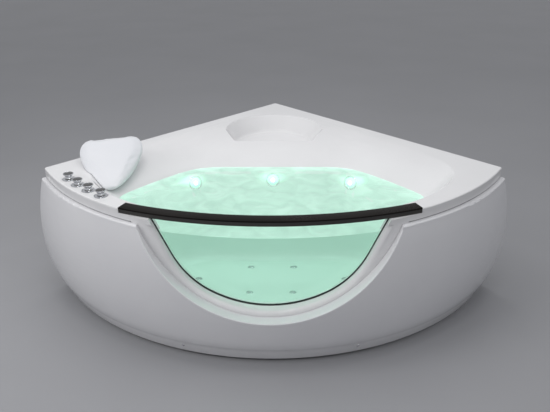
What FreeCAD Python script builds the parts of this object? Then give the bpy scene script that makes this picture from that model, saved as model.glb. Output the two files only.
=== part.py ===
import FreeCAD, Part
import math
import os
import Sketcher

# Corner bathtub with a curved front panel, a U-shaped window and an air-bubble system.
# Millimetres. X to the right, +Y to the back corner, +Z up, the feet stand on z = 0.
# The two straight sides meet at the back corner; the front follows an arc about a vertical axis.

V = FreeCAD.Vector
UP = V(0, 0, 1)
doc = FreeCAD.newDocument("corner_bathtub")

# ---------------------------------------------------------------- driving sizes
SIZES = {
    # rim and shell
    "side_length": 1350, "rim_height": 580, "front_radius": 1110, "lip_height": 39,
    "shell_wall": 6, "corner_round": 14, "side_round": 9, "deck_edge_round": 6,
    # basin: half-width, widest place, back and distance from the walls at its mouth, at the
    # shoulder of its sloping ledge, at its upright wall and at its floor
    "mouth_half": 748, "mouth_widest": 985, "mouth_back": 400, "mouth_ledge": 50,
    "shoulder_height": 505, "shoulder_half": 614, "shoulder_widest": 1110,
    "shoulder_back": 765, "shoulder_ledge": 298,
    "wall_half": 567, "wall_back": 793, "wall_ledge": 336,
    "basin_floor": 165, "floor_half": 425, "floor_back": 832, "floor_ledge": 405,
    "floor_front": 88,
    # niche in the back ledge
    "niche_back": 219, "niche_radius": 237, "niche_front": 588, "niche_front_half": 193,
    "niche_depth": 76, "niche_slope": 46, "niche_round": 22,
    # window
    "window_bottom": 229, "window_bottom_radius": 500, "window_shoulder_radius": 310,
    "window_flare": 26.5, "window_bottom_angle": 25, "window_lip_round": 18, "jamb_width": 26,
    "glass_thickness": 10, "glass_bite": 8, "gasket_wall": 3, "gasket_lip": 1.5,
    "jamb_behind_glass": 11, "skirt_overlap": 20,
    # rail on top of the window
    "rail_axis_back": 44, "rail_setback": 34.2, "rail_width": 49, "rail_half_angle": 22.8,
    "rail_notch": 18, "rail_channel_height": 15, "rail_cap_height": 6, "glass_setback": 14,
    "rail_gap": 0.5, "seal_wall": 1.5, "seal_drop": 3.5, "rail_seat_depth": 14,
    # front apron
    "apron_bulge": 53, "apron_curve": 760, "belly_height": 305, "apron_bottom": 13,
    "apron_wall": 5, "plinth_top": 74, "plinth_setback": 5, "apron_edge_round": 9,
    "apron_sill": 210, "apron_sill_radius": 510, "apron_flare": 21, "apron_flange": 26,
    "edge_seal": 4, "edge_seal_width": 9, "skirt_gap": 0.4, "wall_gap": 1, "sill_round": 3.5,
    "screw_height": 46, "screw_cap_radius": 5.5, "screw_cap_rise": 3, "screw_shank_radius": 2.1,
    "screw_length": 16, "outer_screw_angle": 57, "inner_screw_angle": 17.5, "bracket_width": 32,
    "bracket_thickness": 4,
    # deck controls
    "knob_circle": 44, "first_knob_angle": 49.6, "knob_pitch_angle": 4.25, "knob_radius": 21.5,
    "knob_waist": 14.5, "knob_height": 20, "knob_lift": 0.6, "escutcheon_radius": 27.5,
    "escutcheon_height": 4, "neck_radius": 12, "neck_gap": 0.4, "spindle_radius": 4,
    "spindle_gap": 0.05, "spindle_reach": 13, "spindle_depth": 34, "valve_radius": 17,
    "valve_length": 62, "supply_radius": 10.48, "supply_length": 22, "nut_radius": 21,
    "nut_height": 8, "drain_box_height": 40,
    # overflow filler
    "filler_x": 490, "filler_level": 522, "filler_radius": 25, "filler_height": 8,
    "filler_neck": 14, "filler_length": 46, "filler_nut": 20, "filler_seat": 2,
    # waste
    "waste_x": -345, "waste_back": 1180, "waste_flange_radius": 35, "waste_neck": 25,
    "waste_bore": 20, "waste_drop": 42, "plug_radius": 25, "plug_height": 5,
    "plug_stem_radius": 4, "plug_stem_length": 44, "plug_travel": 10, "trap_radius": 44,
    "trap_height": 100, "outlet_radius": 20, "outlet_length": 330, "outlet_wall": 2.5, "outlet_spigot": 50,
    "cable_radius": 4.5, "cable_height": 92, "drain_cable_height": 68, "hose_detour": 50, "hose_radius": 8, "hose_low": 400,
    # lights
    "light_height": 450, "light_spread": 345, "light_bezel_radius": 31, "light_lens_radius": 23,
    "light_bezel_height": 4, "light_body_radius": 19, "light_body_length": 46, "light_nut": 28,
    # air jets in the floor
    "jet_side_x": 280, "jet_mid_x": 82, "jet_ring_back": 1044, "jet_ring_half": 139,
    "jet_cap_radius": 14, "jet_cap_height": 4, "jet_body_radius": 8, "jet_tail": 66,
    "air_tube_radius": 9, "jet_hole_gap": 0.3,
    # base frame, feet and floor board
    "board_thickness": 18, "frame_tube": 30, "frame_tube_wall": 2.5, "frame_radius": 1035,
    "frame_back": 150, "cross_tube_one": 1095, "cross_tube_two": 950, "plate_tube_one": 540,
    "plate_tube_two": 360, "rod_radius": 6, "foot_shift": 62, "foot_pad_radius": 30, "foot_pad_height": 12,
    "foot_nut_radius": 11, "foot_nut_height": 10,
    # blower and control box on their plate
    "plate_thickness": 4, "plate_half_width": 266, "blower_radius": 88, "blower_height": 96,
    "blower_wall": 4, "blower_back": 450, "impeller_radius": 70, "impeller_height": 34,
    "shaft_radius": 5, "motor_radius": 46, "motor_height": 84, "box_length": 150,
    "box_width": 110, "box_height": 62, "box_wall": 3, "gland_radius": 9, "gland_length": 22,
    # headrest
    "pillow_tip_x": 642, "pillow_tip_back": 1095, "pillow_tip_height": 547,
    "pillow_top_x": 699, "pillow_top_back": 812, "pillow_top_height": 664,
    "pillow_half_width": 130, "pillow_crown": 14, "pillow_depth": 104, "pillow_gap": 0.6,
    "pin_radius": 5, "pin_length": 46, "pin_gap": 0.3,
}

sheet = doc.addObject("Spreadsheet::Sheet", "Sizes")
for row, (alias, value) in enumerate(SIZES.items(), 1):
    sheet.set(f"A{row}", alias)
    sheet.set(f"B{row}", str(value))
    sheet.setAlias(f"B{row}", alias)
doc.recompute()

# ---------------------------------------------------------------- places worked out from them
DERIVED = {
    "side_reach": "Sizes.side_length / sqrt(2)",
    "arc_back": "Derived.side_reach - sqrt(Sizes.front_radius ^ 2 - Derived.side_reach ^ 2)",
    "rim_depth": "Derived.arc_back + Sizes.front_radius",
    "belly_centre": "Sizes.front_radius + Sizes.apron_bulge - Sizes.apron_curve",
    "sill_reach": "Derived.belly_centre"
                  " + sqrt(Sizes.apron_curve ^ 2 - (Sizes.belly_height - Sizes.apron_sill) ^ 2)",
    "corner_cut": "Sizes.corner_round * (sqrt(2) - 1)",
    "corner_y": "(Derived.arc_back + Derived.sill_reach + Derived.corner_cut) / 2",
    "axis_y": "Derived.corner_y - Derived.arc_back",
    "rail_axis_y": "Derived.corner_y - Sizes.rail_axis_back",
    "rail_outer": "Derived.rim_depth - Sizes.rail_setback - Sizes.rail_axis_back",
    "rail_inner": "Derived.rail_outer - Sizes.rail_width",
    "glass_outer": "Derived.rail_outer - Sizes.glass_setback",
    "glass_inner": "Derived.glass_outer - Sizes.glass_thickness",
    "front_wall": "Derived.glass_inner - Sizes.jamb_behind_glass",
    "deck_under": "Sizes.rim_height - Sizes.shell_wall",
    "lip_bottom": "Sizes.rim_height - Sizes.lip_height",
    "apron_top": "Derived.lip_bottom - Sizes.edge_seal",
    "notch_floor": "Sizes.rim_height - Sizes.rail_notch",
    "channel_top": "Derived.notch_floor + Sizes.rail_channel_height",
    "floor_under": "Sizes.basin_floor - Sizes.shell_wall",
    "board_under": "Derived.floor_under - Sizes.board_thickness",
    "frame_under": "Derived.board_under - Sizes.frame_tube",
    "plate_top": "Derived.board_under + Sizes.plate_thickness",
    "frame_side_x": "Sizes.frame_radius * sin(Sizes.outer_screw_angle)",
    "frame_side_y": "Derived.axis_y - Sizes.frame_radius * cos(Sizes.outer_screw_angle)",
    "frame_front_x": "Sizes.frame_radius * sin(Sizes.inner_screw_angle)",
    "frame_front_y": "Derived.axis_y - Sizes.frame_radius * cos(Sizes.inner_screw_angle)",
    "frame_back_y": "Derived.corner_y - Sizes.frame_back",
    "waste_y": "Derived.corner_y - Sizes.waste_back",
    "jet_y": "Derived.corner_y - Sizes.jet_ring_back",
    "blower_y": "Derived.corner_y - Sizes.blower_back",
    "knob_circle_radius": "Sizes.front_radius - Sizes.knob_circle",
}
derived = doc.addObject("App::VarSet", "Derived")
for name, formula in DERIVED.items():
    derived.addProperty("App::PropertyFloat", name)
    derived.setExpression(name, formula)
    doc.recompute()


class Values:
    """Reads a driving size or a derived place by its name."""

    def __getattr__(self, name):
        owner = derived if name in DERIVED else sheet
        return float(getattr(owner, name))


v = Values()
NODES = []


# ---------------------------------------------------------------- helpers
def keep(obj, label):
    """Names an object as a node of the part."""
    obj.Label = label
    NODES.append(obj)
    return obj


def feature(label, shape, placement=None):
    """A node whose shape is worked out by this script."""
    obj = doc.addObject("Part::Feature", label)
    obj.Shape = shape
    if placement is not None:
        obj.Placement = placement
    return keep(obj, label)


def bind(obj, **formulas):
    for prop, formula in formulas.items():
        obj.setExpression(prop.replace("__", "."), formula)
    return obj


def primitive(kind, name, placement=None, **formulas):
    """A Part primitive with its sizes bound to the sheet."""
    obj = doc.addObject(kind, name)
    if placement is not None:
        obj.Placement = placement
    return bind(obj, **formulas)


def boolean(kind, name, base, tool):
    obj = doc.addObject(kind, name)
    obj.Base = base
    obj.Tool = tool
    return obj


def group(label, members):
    """Identical pieces kept as one node of separate solids."""
    obj = doc.addObject("Part::Compound", label)
    obj.Links = members
    return keep(obj, label)


def origin_plane(body, role):
    return [f for f in body.Origin.OriginFeatures if f.Role == role][0]


def turned(name, outline, placement=None, axis="V_Axis"):
    """A turned body: outline is a closed list of (radius, height) formulas about the Z axis."""
    body = doc.addObject("PartDesign::Body", name)
    sketch = body.newObject("Sketcher::SketchObject", name + "_profile")
    sketch.AttachmentSupport = [(origin_plane(body, "XZ_Plane"), "")]
    sketch.MapMode = "FlatFace"
    guess = [(evaluate(r), evaluate(z)) for r, z in outline]
    count = len(outline)
    for i in range(count):
        start = V(guess[i][0], guess[i][1], 0)
        end = V(guess[(i + 1) % count][0], guess[(i + 1) % count][1], 0)
        sketch.addGeometry(Part.LineSegment(start, end), False)
    for i in range(count):
        sketch.addConstraint(Sketcher.Constraint("Coincident", i, 2, (i + 1) % count, 1))
    for i, (r, z) in enumerate(outline):
        if r == "0":
            sketch.addConstraint(Sketcher.Constraint("PointOnObject", i, 1, -2))
        else:
            number = sketch.addConstraint(Sketcher.Constraint("DistanceX", -1, 1, i, 1, guess[i][0]))
            sketch.setExpression(f"Constraints[{number}]", r)
        if z == "0":
            sketch.addConstraint(Sketcher.Constraint("PointOnObject", i, 1, -1))
        else:
            number = sketch.addConstraint(Sketcher.Constraint("DistanceY", -1, 1, i, 1, guess[i][1]))
            sketch.setExpression(f"Constraints[{number}]", z)
    turn = body.newObject("PartDesign::Revolution", name + "_turn")
    turn.Profile = sketch
    turn.ReferenceAxis = (sketch, [axis])
    turn.Angle = 360
    if placement is not None:
        body.Placement = placement
    return body


def evaluate(formula):
    """The present value of a formula, for a first guess of a sketch."""
    return float(sheet.evalExpression(formula))


def at(x, y, z, turn=0.0):
    """A placement at a point, turned about Z by degrees."""
    return FreeCAD.Placement(V(x, y, z), FreeCAD.Rotation(UP, turn))


def along(point, direction):
    """A placement whose Z axis lies along a direction."""
    return FreeCAD.Placement(point, FreeCAD.Rotation(UP, direction))


def on_front_arc(radius, degrees, z=0.0):
    """A point about the front arc's axis; 0 degrees is straight ahead, positive to the right."""
    a = math.radians(degrees)
    return V(radius * math.sin(a), v.axis_y - radius * math.cos(a), z)


def cylinder(radius, z0, z1, x=0.0, y=0.0):
    return Part.makeCylinder(radius, z1 - z0, V(x, y, z0))


def annulus(inner, outer, y, z0, z1):
    return cylinder(outer, z0, z1, 0, y).cut(cylinder(inner, z0 - 1, z1 + 1, 0, y))


def arc_bar(inner, outer, y, half_angle, z0, z1):
    """A curved bar about a vertical axis, symmetric about the front centre line."""
    a = math.radians(half_angle)
    def ends(r):
        return [V(r * math.sin(k), y - r * math.cos(k), z0) for k in (-a, 0, a)]
    near, far = ends(inner), ends(outer)
    edges = [
        Part.Arc(*far).toShape(), Part.LineSegment(far[2], near[2]).toShape(),
        Part.Arc(near[2], near[1], near[0]).toShape(), Part.LineSegment(near[0], far[0]).toShape(),
    ]
    return Part.Face(Part.Wire(edges)).extrude(V(0, 0, z1 - z0))


def tube_run(points, radius, bend):
    """A round hose along straight runs joined by tangent arcs."""
    edges = []
    last = points[0]
    for before, corner, after in zip(points, points[1:], points[2:]):
        d_in = (corner - before).normalize()
        d_out = (after - corner).normalize()
        half = d_in.getAngle(d_out) / 2
        back = bend * math.tan(half)
        middle = (d_out - d_in).normalize() * (bend / math.cos(half) - bend)
        start = corner - d_in * back
        end = corner + d_out * back
        edges.append(Part.LineSegment(last, start).toShape())
        edges.append(Part.Arc(start, corner + middle, end).toShape())
        last = end
    edges.append(Part.LineSegment(last, points[-1]).toShape())
    path = Part.Wire(edges)
    ring = Part.Wire([Part.Circle(points[0], points[1] - points[0], radius).toShape()])
    return path.makePipeShell([ring], True, False)


# ---------------------------------------------------------------- outlines
def quadrant(grow, z0, z1):
    """The room corner seen from above: everything in front of the two walls."""
    reach = 2 * v.side_length
    top = v.corner_y + grow * math.sqrt(2)
    points = [V(0, top, z0), V(reach, top - reach, z0), V(-reach, top - reach, z0), V(0, top, z0)]
    return Part.Face(Part.makePolygon(points)).extrude(V(0, 0, z1 - z0))


def rim_block(inset, z0, z1, round_corner):
    """The rim's outline, drawn in by an inset, as an upright block."""
    block = quadrant(-inset, z0, z1).common(cylinder(v.front_radius - inset, z0, z1, 0, v.axis_y))
    back = [e for e in block.Edges if upright(e) and e.CenterOfMass.y > v.corner_y - 100]
    block = block.makeFillet(max(round_corner - inset, 1), back)
    sides = [e for e in block.Edges if upright(e) and abs(e.CenterOfMass.x) > v.side_reach - 100]
    return block.makeFillet(max(v.side_round - inset, 1), sides)


def upright(edge):
    box = edge.BoundBox
    return box.XLength < 1e-3 and box.YLength < 1e-3 and box.ZLength > 1


def u_outline(bottom, radius, shoulder, flare, top, grow, y):
    """A U in a plane facing the front: bottom arc, two shoulder arcs and flared sides."""
    low = math.radians(v.window_bottom_angle)
    high = math.radians(90 - flare)
    cz = bottom + radius
    sx = (radius - shoulder) * math.sin(low)
    sz = cz - (radius - shoulder) * math.cos(low)
    def arc_point(centre_x, centre_z, r, angle):
        return V(centre_x + r * math.sin(angle), y, centre_z - r * math.cos(angle))
    big, small = radius + grow, shoulder + grow
    foot = arc_point(0, cz, big, 0)
    mid = arc_point(0, cz, big, low)
    half = arc_point(sx, sz, small, (low + high) / 2)
    neck = arc_point(sx, sz, small, high)
    rise = top - neck.z
    lean = math.tan(math.radians(flare))
    head = V(neck.x + rise * lean, y, top)
    def flip(p):
        return V(-p.x, p.y, p.z)
    edges = [
        Part.Arc(flip(mid), foot, mid).toShape(), Part.Arc(mid, half, neck).toShape(),
        Part.LineSegment(neck, head).toShape(), Part.LineSegment(head, flip(head)).toShape(),
        Part.LineSegment(flip(head), flip(neck)).toShape(),
        Part.Arc(flip(neck), flip(half), flip(mid)).toShape(),
    ]
    return Part.Wire(edges)


def u_block(grow, top, apron=False):
    """The window's outline, or the apron opening's, as a block through the front."""
    y = v.axis_y - 1.3 * v.front_radius
    if apron:
        wire = u_outline(v.apron_sill, v.apron_sill_radius, v.apron_sill_radius,
                         v.apron_flare, top, grow, y)
    else:
        wire = u_outline(v.window_bottom, v.window_bottom_radius, v.window_shoulder_radius,
                         v.window_flare, top, grow, y)
    return Part.Face(wire).extrude(V(0, 0.6 * v.front_radius, 0))


# ---------------------------------------------------------------- basin
def blend(first, last, share):
    return [a + share * (b - a) for a, b in zip(first, last)]


def basin_levels():
    """Levels of the basin from the mouth down: height, half-width, widest place, back, ledge, front."""
    top = v.rim_height
    mouth = [v.mouth_half, v.mouth_widest, v.mouth_back, v.mouth_ledge, 0]
    shoulder = [v.shoulder_half, v.shoulder_widest, v.shoulder_back, v.shoulder_ledge, 0]
    wall = [v.wall_half, v.shoulder_widest, v.wall_back, v.wall_ledge, 0]
    floor = [v.floor_half, v.shoulder_widest, v.floor_back, v.floor_ledge, v.floor_front]
    drop = top - v.shoulder_height
    # the ledge is nearly level at first and steepens towards its shoulder
    levels = []
    for back, sides in [(-0.10, -0.03), (0.25, 0.10), (0.5, 0.25), (0.7, 0.46), (0.85, 0.70), (1, 1)]:
        down = 0.25 * back + 0.75 * back ** 3
        side = blend(mouth, shoulder, sides)
        rear = blend(mouth, shoulder, back)
        levels.append([top - down * drop, side[0], side[1], rear[2], rear[3], 0])
    levels.append([v.light_height] + blend(shoulder, wall, 0.64))
    levels.append([v.light_height - 70] + wall)
    # the wall rounds into the floor
    low = v.light_height - 70 - v.basin_floor
    for down, share in [(0.42, 0.07), (0.77, 0.17), (0.89, 0.33), (0.97, 0.66)]:
        levels.append([v.light_height - 70 - down * low] + blend(wall, floor, share))
    levels.append([v.basin_floor] + floor)
    return levels


def back_edge(level, x, grow=0.0):
    """The basin's back at one level: a straight middle between two flanks along the walls."""
    z, half, widest, back, ledge, front = level
    soften = 34.0
    flank = abs(x) + (ledge - grow) * math.sqrt(2)
    middle = back - grow
    edge = max(flank, middle) + soften * math.log(1 + math.exp(-abs(flank - middle) / soften))
    u = min(abs(x) / (half + grow), 1)
    return v.corner_y - widest + (widest - edge) * (1 - u ** 8) ** (1 / 3)


def front_edge(level, x, grow=0.0):
    """The basin's front at one level: the arc behind the window, rounded into the sides."""
    z, half, widest, back, ledge, front = level
    arch = v.rail_axis_back + math.sqrt((v.front_wall - front + grow) ** 2 - x ** 2)
    u = min(abs(x) / (half + grow), 1)
    return v.corner_y - widest - (arch - widest) * (1 - u ** 5) ** 0.5


def ring_points(level, grow=0.0, drop=0.0, steps=20):
    z = level[0] - drop
    half = level[1] + grow
    points = []
    for i in range(steps + 1):
        x = half * math.sin(math.pi * (i / steps - 0.5))
        points.append(V(x, back_edge(level, x, grow), z))
    for i in range(1, steps):
        x = half * math.sin(math.pi * (0.5 - i / steps))
        points.append(V(x, front_edge(level, x, grow), z))
    return points


def ring_curve(points):
    curve = Part.BSplineCurve()
    count = len(points)
    curve.interpolate(points, PeriodicFlag=True, Parameters=[i / count for i in range(count + 1)])
    curve.setNotPeriodic()
    return curve


def skin(curves):
    """A solid whose side passes smoothly through closed curves drawn level by level."""
    places = [0.0]
    for upper, lower in zip(curves, curves[1:]):
        gaps = [(a - b).Length for a, b in zip(upper.getPoles(), lower.getPoles())]
        places.append(places[-1] + sum(gaps) / len(gaps))
    places = [place / places[-1] for place in places]
    rows = []
    for column in zip(*[curve.getPoles() for curve in curves]):
        rise = Part.BSplineCurve()
        rise.interpolate(list(column), Parameters=places)
        rows.append(rise.getPoles())
    side = Part.BSplineSurface()
    side.buildFromPolesMultsKnots(rows, curves[0].getMultiplicities(), rise.getMultiplicities(),
                                  curves[0].getKnots(), rise.getKnots(), False, False, 3, 3)
    faces = [side.toShape()]
    for curve in (curves[0], curves[-1]):
        faces.append(Part.Face(Part.Wire([curve.toShape()])))
    shell = Part.makeShell(faces)
    shell.sewShape()
    solid = Part.makeSolid(shell)
    if solid.Volume < 0:
        solid.reverse()
    return solid


def basin_solid(grow, drop):
    """The basin's space, or with grow and drop the outside of its wall."""
    return skin([ring_curve(ring_points(level, grow, drop)) for level in basin_levels()])


def level_at(z):
    """The basin's level at a height, between two given ones."""
    levels = basin_levels()
    for upper, lower in zip(levels, levels[1:]):
        if lower[0] <= z <= upper[0]:
            return blend(upper, lower, (upper[0] - z) / (upper[0] - lower[0]))
    return levels[-1]


def back_wall_point(x, z):
    return V(x, back_edge(level_at(z), x), z)


def front_wall_point(x, z):
    return V(x, front_edge(level_at(z), x), z)


def wall_normal(point_on, x, z, inward):
    """The wall's normal towards the basin, from small steps along it."""
    step = 4.0
    across = point_on(x + step, z) - point_on(x - step, z)
    up = point_on(x, z + step) - point_on(x, z - step)
    normal = across.cross(up).normalize()
    return normal if normal.dot(inward) > 0 else normal.negative()


def niche_solid(grow, z_top, z_bottom):
    """The recess in the back ledge: a round back, flared sides and a straight front."""
    def outline(inset, z):
        radius = v.niche_radius - inset + grow
        centre = v.corner_y - v.niche_back - v.niche_radius
        front = v.corner_y - v.niche_front - grow + inset * 0.5
        half = v.niche_front_half - inset + grow
        left, right = V(-radius, centre, z), V(radius, centre, z)
        corner_l, corner_r = V(-half, front, z), V(half, front, z)
        edges = [
            Part.Arc(right, V(0, centre + radius, z), left).toShape(),
            Part.LineSegment(left, corner_l).toShape(),
            Part.LineSegment(corner_l, corner_r).toShape(),
            Part.LineSegment(corner_r, right).toShape(),
        ]
        return Part.Wire(edges)
    block = Part.makeLoft([outline(0, z_top), outline(v.niche_slope, z_bottom)], True, True)
    middle = (z_top + z_bottom) / 2
    corners = [e for e in block.Edges
               if abs(e.CenterOfMass.z - middle) < 5 and e.CenterOfMass.y < v.corner_y - v.niche_front + 60]
    block = block.makeFillet(v.niche_round + grow, corners)
    foot = [e for e in block.Edges if e.BoundBox.ZMax < z_bottom + 0.01]
    return block.makeFillet(v.niche_round, foot)


# ---------------------------------------------------------------- where fittings sit
KNOB_NAMES = ["hot", "cold", "drain", "air"]


def knob_place(i, z):
    return on_front_arc(v.knob_circle_radius, -v.first_knob_angle + i * v.knob_pitch_angle, z)


def jet_places(z):
    half = v.jet_ring_half
    rows = [(-v.jet_side_x, 0), (-v.jet_mid_x, -half), (v.jet_mid_x, -half),
            (v.jet_side_x, 0), (v.jet_mid_x, half), (-v.jet_mid_x, half)]
    return [V(x, v.jet_y + dy, z) for x, dy in rows]


def light_places():
    places = []
    for x in (-v.light_spread, 0, v.light_spread):
        point = back_wall_point(x, v.light_height)
        places.append((point, wall_normal(back_wall_point, x, v.light_height, V(0, -1, 0))))
    return places


def filler_place():
    point = front_wall_point(-v.filler_x, v.filler_level)
    return point, wall_normal(front_wall_point, -v.filler_x, v.filler_level, V(0, 1, 0))


def filler_inlet(point, normal):
    """Where the hose meets the filler, below its barrel."""
    return point - normal * (v.filler_seat + v.filler_length - 13) - UP * (v.filler_neck + 14)


def pin_places(z):
    """Two pins under the headrest, on the left ledge."""
    return [V(-v.side_reach + 164, v.corner_y - 880, z), V(-v.side_reach + 209, v.corner_y - 802, z)]


def foot_places():
    """Feet under the frame, clear of its brackets: the back one at the corner, four to the side."""
    back, right, front_right, front_left, left = frame_corners()
    shift = v.foot_shift
    return [back, right + (back - right).normalize() * shift, front_right - V(shift, 0, 0),
            front_left + V(shift, 0, 0), left + (back - left).normalize() * shift]


def frame_corners():
    return [
        V(0, v.frame_back_y, 0), V(v.frame_side_x, v.frame_side_y, 0),
        V(v.frame_front_x, v.frame_front_y, 0), V(-v.frame_front_x, v.frame_front_y, 0),
        V(-v.frame_side_x, v.frame_side_y, 0),
    ]


# ---------------------------------------------------------------- tub shell
def make_tub_shell():
    top = v.rim_height
    wall = v.shell_wall
    rim = rim_block(0, v.lip_bottom, top, v.corner_round)
    rim = rim.makeFillet(v.deck_edge_round, [e for e in rim.Edges if e.BoundBox.ZMin > top - 0.01])
    rim = rim.cut(rim_block(wall, v.lip_bottom - 1, v.deck_under, v.corner_round))

    rail_seat = annulus(v.rail_inner + 8, v.rail_inner + 300, v.rail_axis_y,
                        v.notch_floor - v.rail_seat_depth, v.deck_under + 1)
    rail_seat = rail_seat.common(fan(v.rail_half_angle + 0.8, v.lip_bottom, top))
    rail_seat = rail_seat.common(rim_block(0.5, v.lip_bottom, top, v.corner_round))

    skirt = u_block(v.skirt_overlap, v.lip_bottom + 5, apron=True)
    skirt = skirt.common(annulus(v.front_radius - wall, v.front_radius, v.axis_y, 0, top))
    jamb = u_block(v.jamb_width, v.notch_floor + 2)
    jamb = jamb.common(cylinder(v.front_radius, 0, top, 0, v.axis_y))
    jamb = jamb.cut(cylinder(v.front_wall - 60, -1, top + 1, 0, v.rail_axis_y))
    frame = skirt.fuse(jamb).cut(u_block(0, top + 50))
    frame = frame.removeSplitter()
    lips = [e for e in frame.Edges if window_lip_edge(e)]
    frame = frame.makeFillet(v.window_lip_round, lips)

    outer = basin_solid(wall, wall)
    niche = niche_solid(wall, v.deck_under + 1, top - v.niche_depth - wall)
    shell = rim.fuse([rail_seat, outer, niche, frame])
    shell = shell.cut(basin_solid(0, 0))
    shell = shell.cut(niche_solid(0, top + 0.01, top - v.niche_depth))
    shell = shell.cut(u_block(0, top + 50).common(front_band(top)))

    groove = u_block(v.glass_bite + v.gasket_wall - 1, v.notch_floor + 40)
    groove = groove.common(annulus(v.glass_inner - v.gasket_wall, v.glass_outer + v.gasket_wall,
                                   v.rail_axis_y, 0, top + 20))
    shell = shell.cut(groove)
    notch = annulus(v.rail_inner - v.rail_gap, v.rail_outer + 200, v.rail_axis_y,
                    v.notch_floor, top + 20)
    notch = notch.common(fan(v.rail_half_angle + math.degrees(v.rail_gap / v.rail_outer), 0, top + 30))
    shell = shell.cut(notch)
    return drill_shell(shell)


def fan(half_angle, z0, z1):
    """A wedge about the rail's axis, open to the front."""
    reach = 2.2 * v.front_radius
    a = math.radians(half_angle)
    x, y = reach * math.sin(a), v.rail_axis_y - reach * math.cos(a)
    points = [V(0, v.rail_axis_y, z0), V(x, y, z0), V(-x, y, z0), V(0, v.rail_axis_y, z0)]
    return Part.Face(Part.makePolygon(points)).extrude(V(0, 0, z1 - z0))


def front_band(top):
    """The space in front of the basin's middle, where the window is cut."""
    return annulus(v.front_wall - 60, v.front_wall + 200, v.rail_axis_y, 0, top + 60)


def window_lip_edge(edge):
    """True for the edges where the window's sides meet the front surface."""
    near = 0.6
    middle = edge.valueAt((edge.FirstParameter + edge.LastParameter) / 2)
    ends = [edge.Vertexes[0].Point, edge.Vertexes[-1].Point, middle]
    for p in ends:
        r = math.hypot(p.x, p.y - v.axis_y)
        if abs(r - v.front_radius) > near or not on_window_outline(p, near):
            return False
    return True


def on_window_outline(p, near):
    """True where a point lies on the window's U."""
    low = math.radians(v.window_bottom_angle)
    cz = v.window_bottom + v.window_bottom_radius
    step = v.window_bottom_radius - v.window_shoulder_radius
    sx, sz = step * math.sin(low), cz - step * math.cos(low)
    x = abs(p.x)
    angle = math.atan2(x - sx, sz - p.z) if x > sx else 0
    high = math.radians(90 - v.window_flare)
    if math.atan2(x, cz - p.z) <= low + 1e-6:
        return abs(math.hypot(x, p.z - cz) - v.window_bottom_radius) < near
    if 0 <= angle <= high:
        return abs(math.hypot(x - sx, p.z - sz) - v.window_shoulder_radius) < near
    neck_x = sx + v.window_shoulder_radius * math.sin(high)
    neck_z = sz - v.window_shoulder_radius * math.cos(high)
    lean = math.tan(math.radians(v.window_flare))
    return abs(x - neck_x - (p.z - neck_z) * lean) < near


def drill_shell(shell):
    """Holes and seats for the fittings."""
    cuts = []
    for i in range(len(KNOB_NAMES)):
        cuts.append(Part.makeCylinder(v.neck_radius + v.neck_gap, 60, knob_place(i, v.deck_under - 30)))
    for place in jet_places(v.basin_floor):
        cuts.append(Part.makeCylinder(v.jet_body_radius + v.jet_hole_gap, 60, place - UP * 30))
    cuts.append(cylinder(v.waste_neck + 0.4, v.basin_floor - 30, v.basin_floor + 30, v.waste_x, v.waste_y))
    for point in pin_places(v.deck_under - 20):
        cuts.append(Part.makeCylinder(v.pin_radius + v.pin_gap, 60, point))
    for point, normal in light_places():
        cuts.append(Part.makeCylinder(v.light_body_radius + 0.4, 60, point - normal * 30, normal))
        cuts.append(Part.makeCylinder(v.light_bezel_radius + 0.6, 30, point - normal * 1.5, normal))
    point, normal = filler_place()
    cuts.append(Part.makeCylinder(v.filler_neck + 0.4, 60, point - normal * 30, normal))
    cuts.append(Part.makeCylinder(v.filler_radius + 0.6, 30, point - normal * v.filler_seat, normal))
    shell = shell.cut(cuts)
    return max(shell.Solids, key=lambda solid: solid.Volume)


shell_shape = make_tub_shell()
feature("tub_shell", shell_shape)


# ---------------------------------------------------------------- window, gasket and rail
def make_window():
    glass_top = v.channel_top - 1 - v.seal_wall
    band = annulus(v.glass_inner, v.glass_outer, v.rail_axis_y, 0, v.rim_height)
    pane = u_block(v.glass_bite, glass_top).common(band)
    feature("window_pane", pane)

    gasket_top = v.notch_floor - v.seal_drop - 0.5
    thick = annulus(v.glass_inner - v.gasket_wall, v.glass_outer + v.gasket_wall,
                    v.rail_axis_y, 0, v.rim_height)
    gasket = u_block(v.glass_bite + v.gasket_wall - 1, gasket_top).common(thick)
    gasket = gasket.cut(u_block(-v.gasket_lip, v.rim_height)).cut(pane)
    feature("window_gasket", gasket)

    half = v.rail_half_angle
    channel = arc_bar(v.rail_inner + 2, v.rail_outer - 1, v.rail_axis_y, half - 0.05,
                      v.notch_floor, v.channel_top)
    slot = u_block(v.glass_bite + 2, v.channel_top - 1)
    slot = slot.common(annulus(v.glass_inner - v.seal_wall, v.glass_outer + v.seal_wall,
                               v.rail_axis_y, 0, v.rim_height))
    feature("rail_channel", channel.cut(slot))

    cap = arc_bar(v.rail_inner, v.rail_outer, v.rail_axis_y, half,
                  v.channel_top, v.channel_top + v.rail_cap_height)
    top_edges = [e for e in cap.Edges if e.BoundBox.ZMin > v.channel_top + v.rail_cap_height - 0.01]
    feature("rail_cap", cap.makeFillet(1.5, top_edges))

    seal = u_block(v.glass_bite - 0.5, v.channel_top - 1)
    seal = seal.common(annulus(v.glass_inner - v.seal_wall, v.glass_outer + v.seal_wall,
                               v.rail_axis_y, v.notch_floor - v.seal_drop, v.channel_top))
    seal = seal.cut(pane).common(u_block(-v.gasket_lip - 0.5, v.rim_height))
    feature("rail_seal", seal)


make_window()


# ---------------------------------------------------------------- front apron
def apron_profile(offset, z):
    """The apron's outer radius at a height, drawn in by an offset."""
    return v.belly_centre + math.sqrt((v.apron_curve - offset) ** 2 - (z - v.belly_height) ** 2)


def revolved(points_or_edges):
    face = Part.Face(Part.Wire(points_or_edges))
    return face.revolve(V(0, v.axis_y, 0), UP, 360)


def rz(r, z):
    return V(r, v.axis_y, z)


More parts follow.
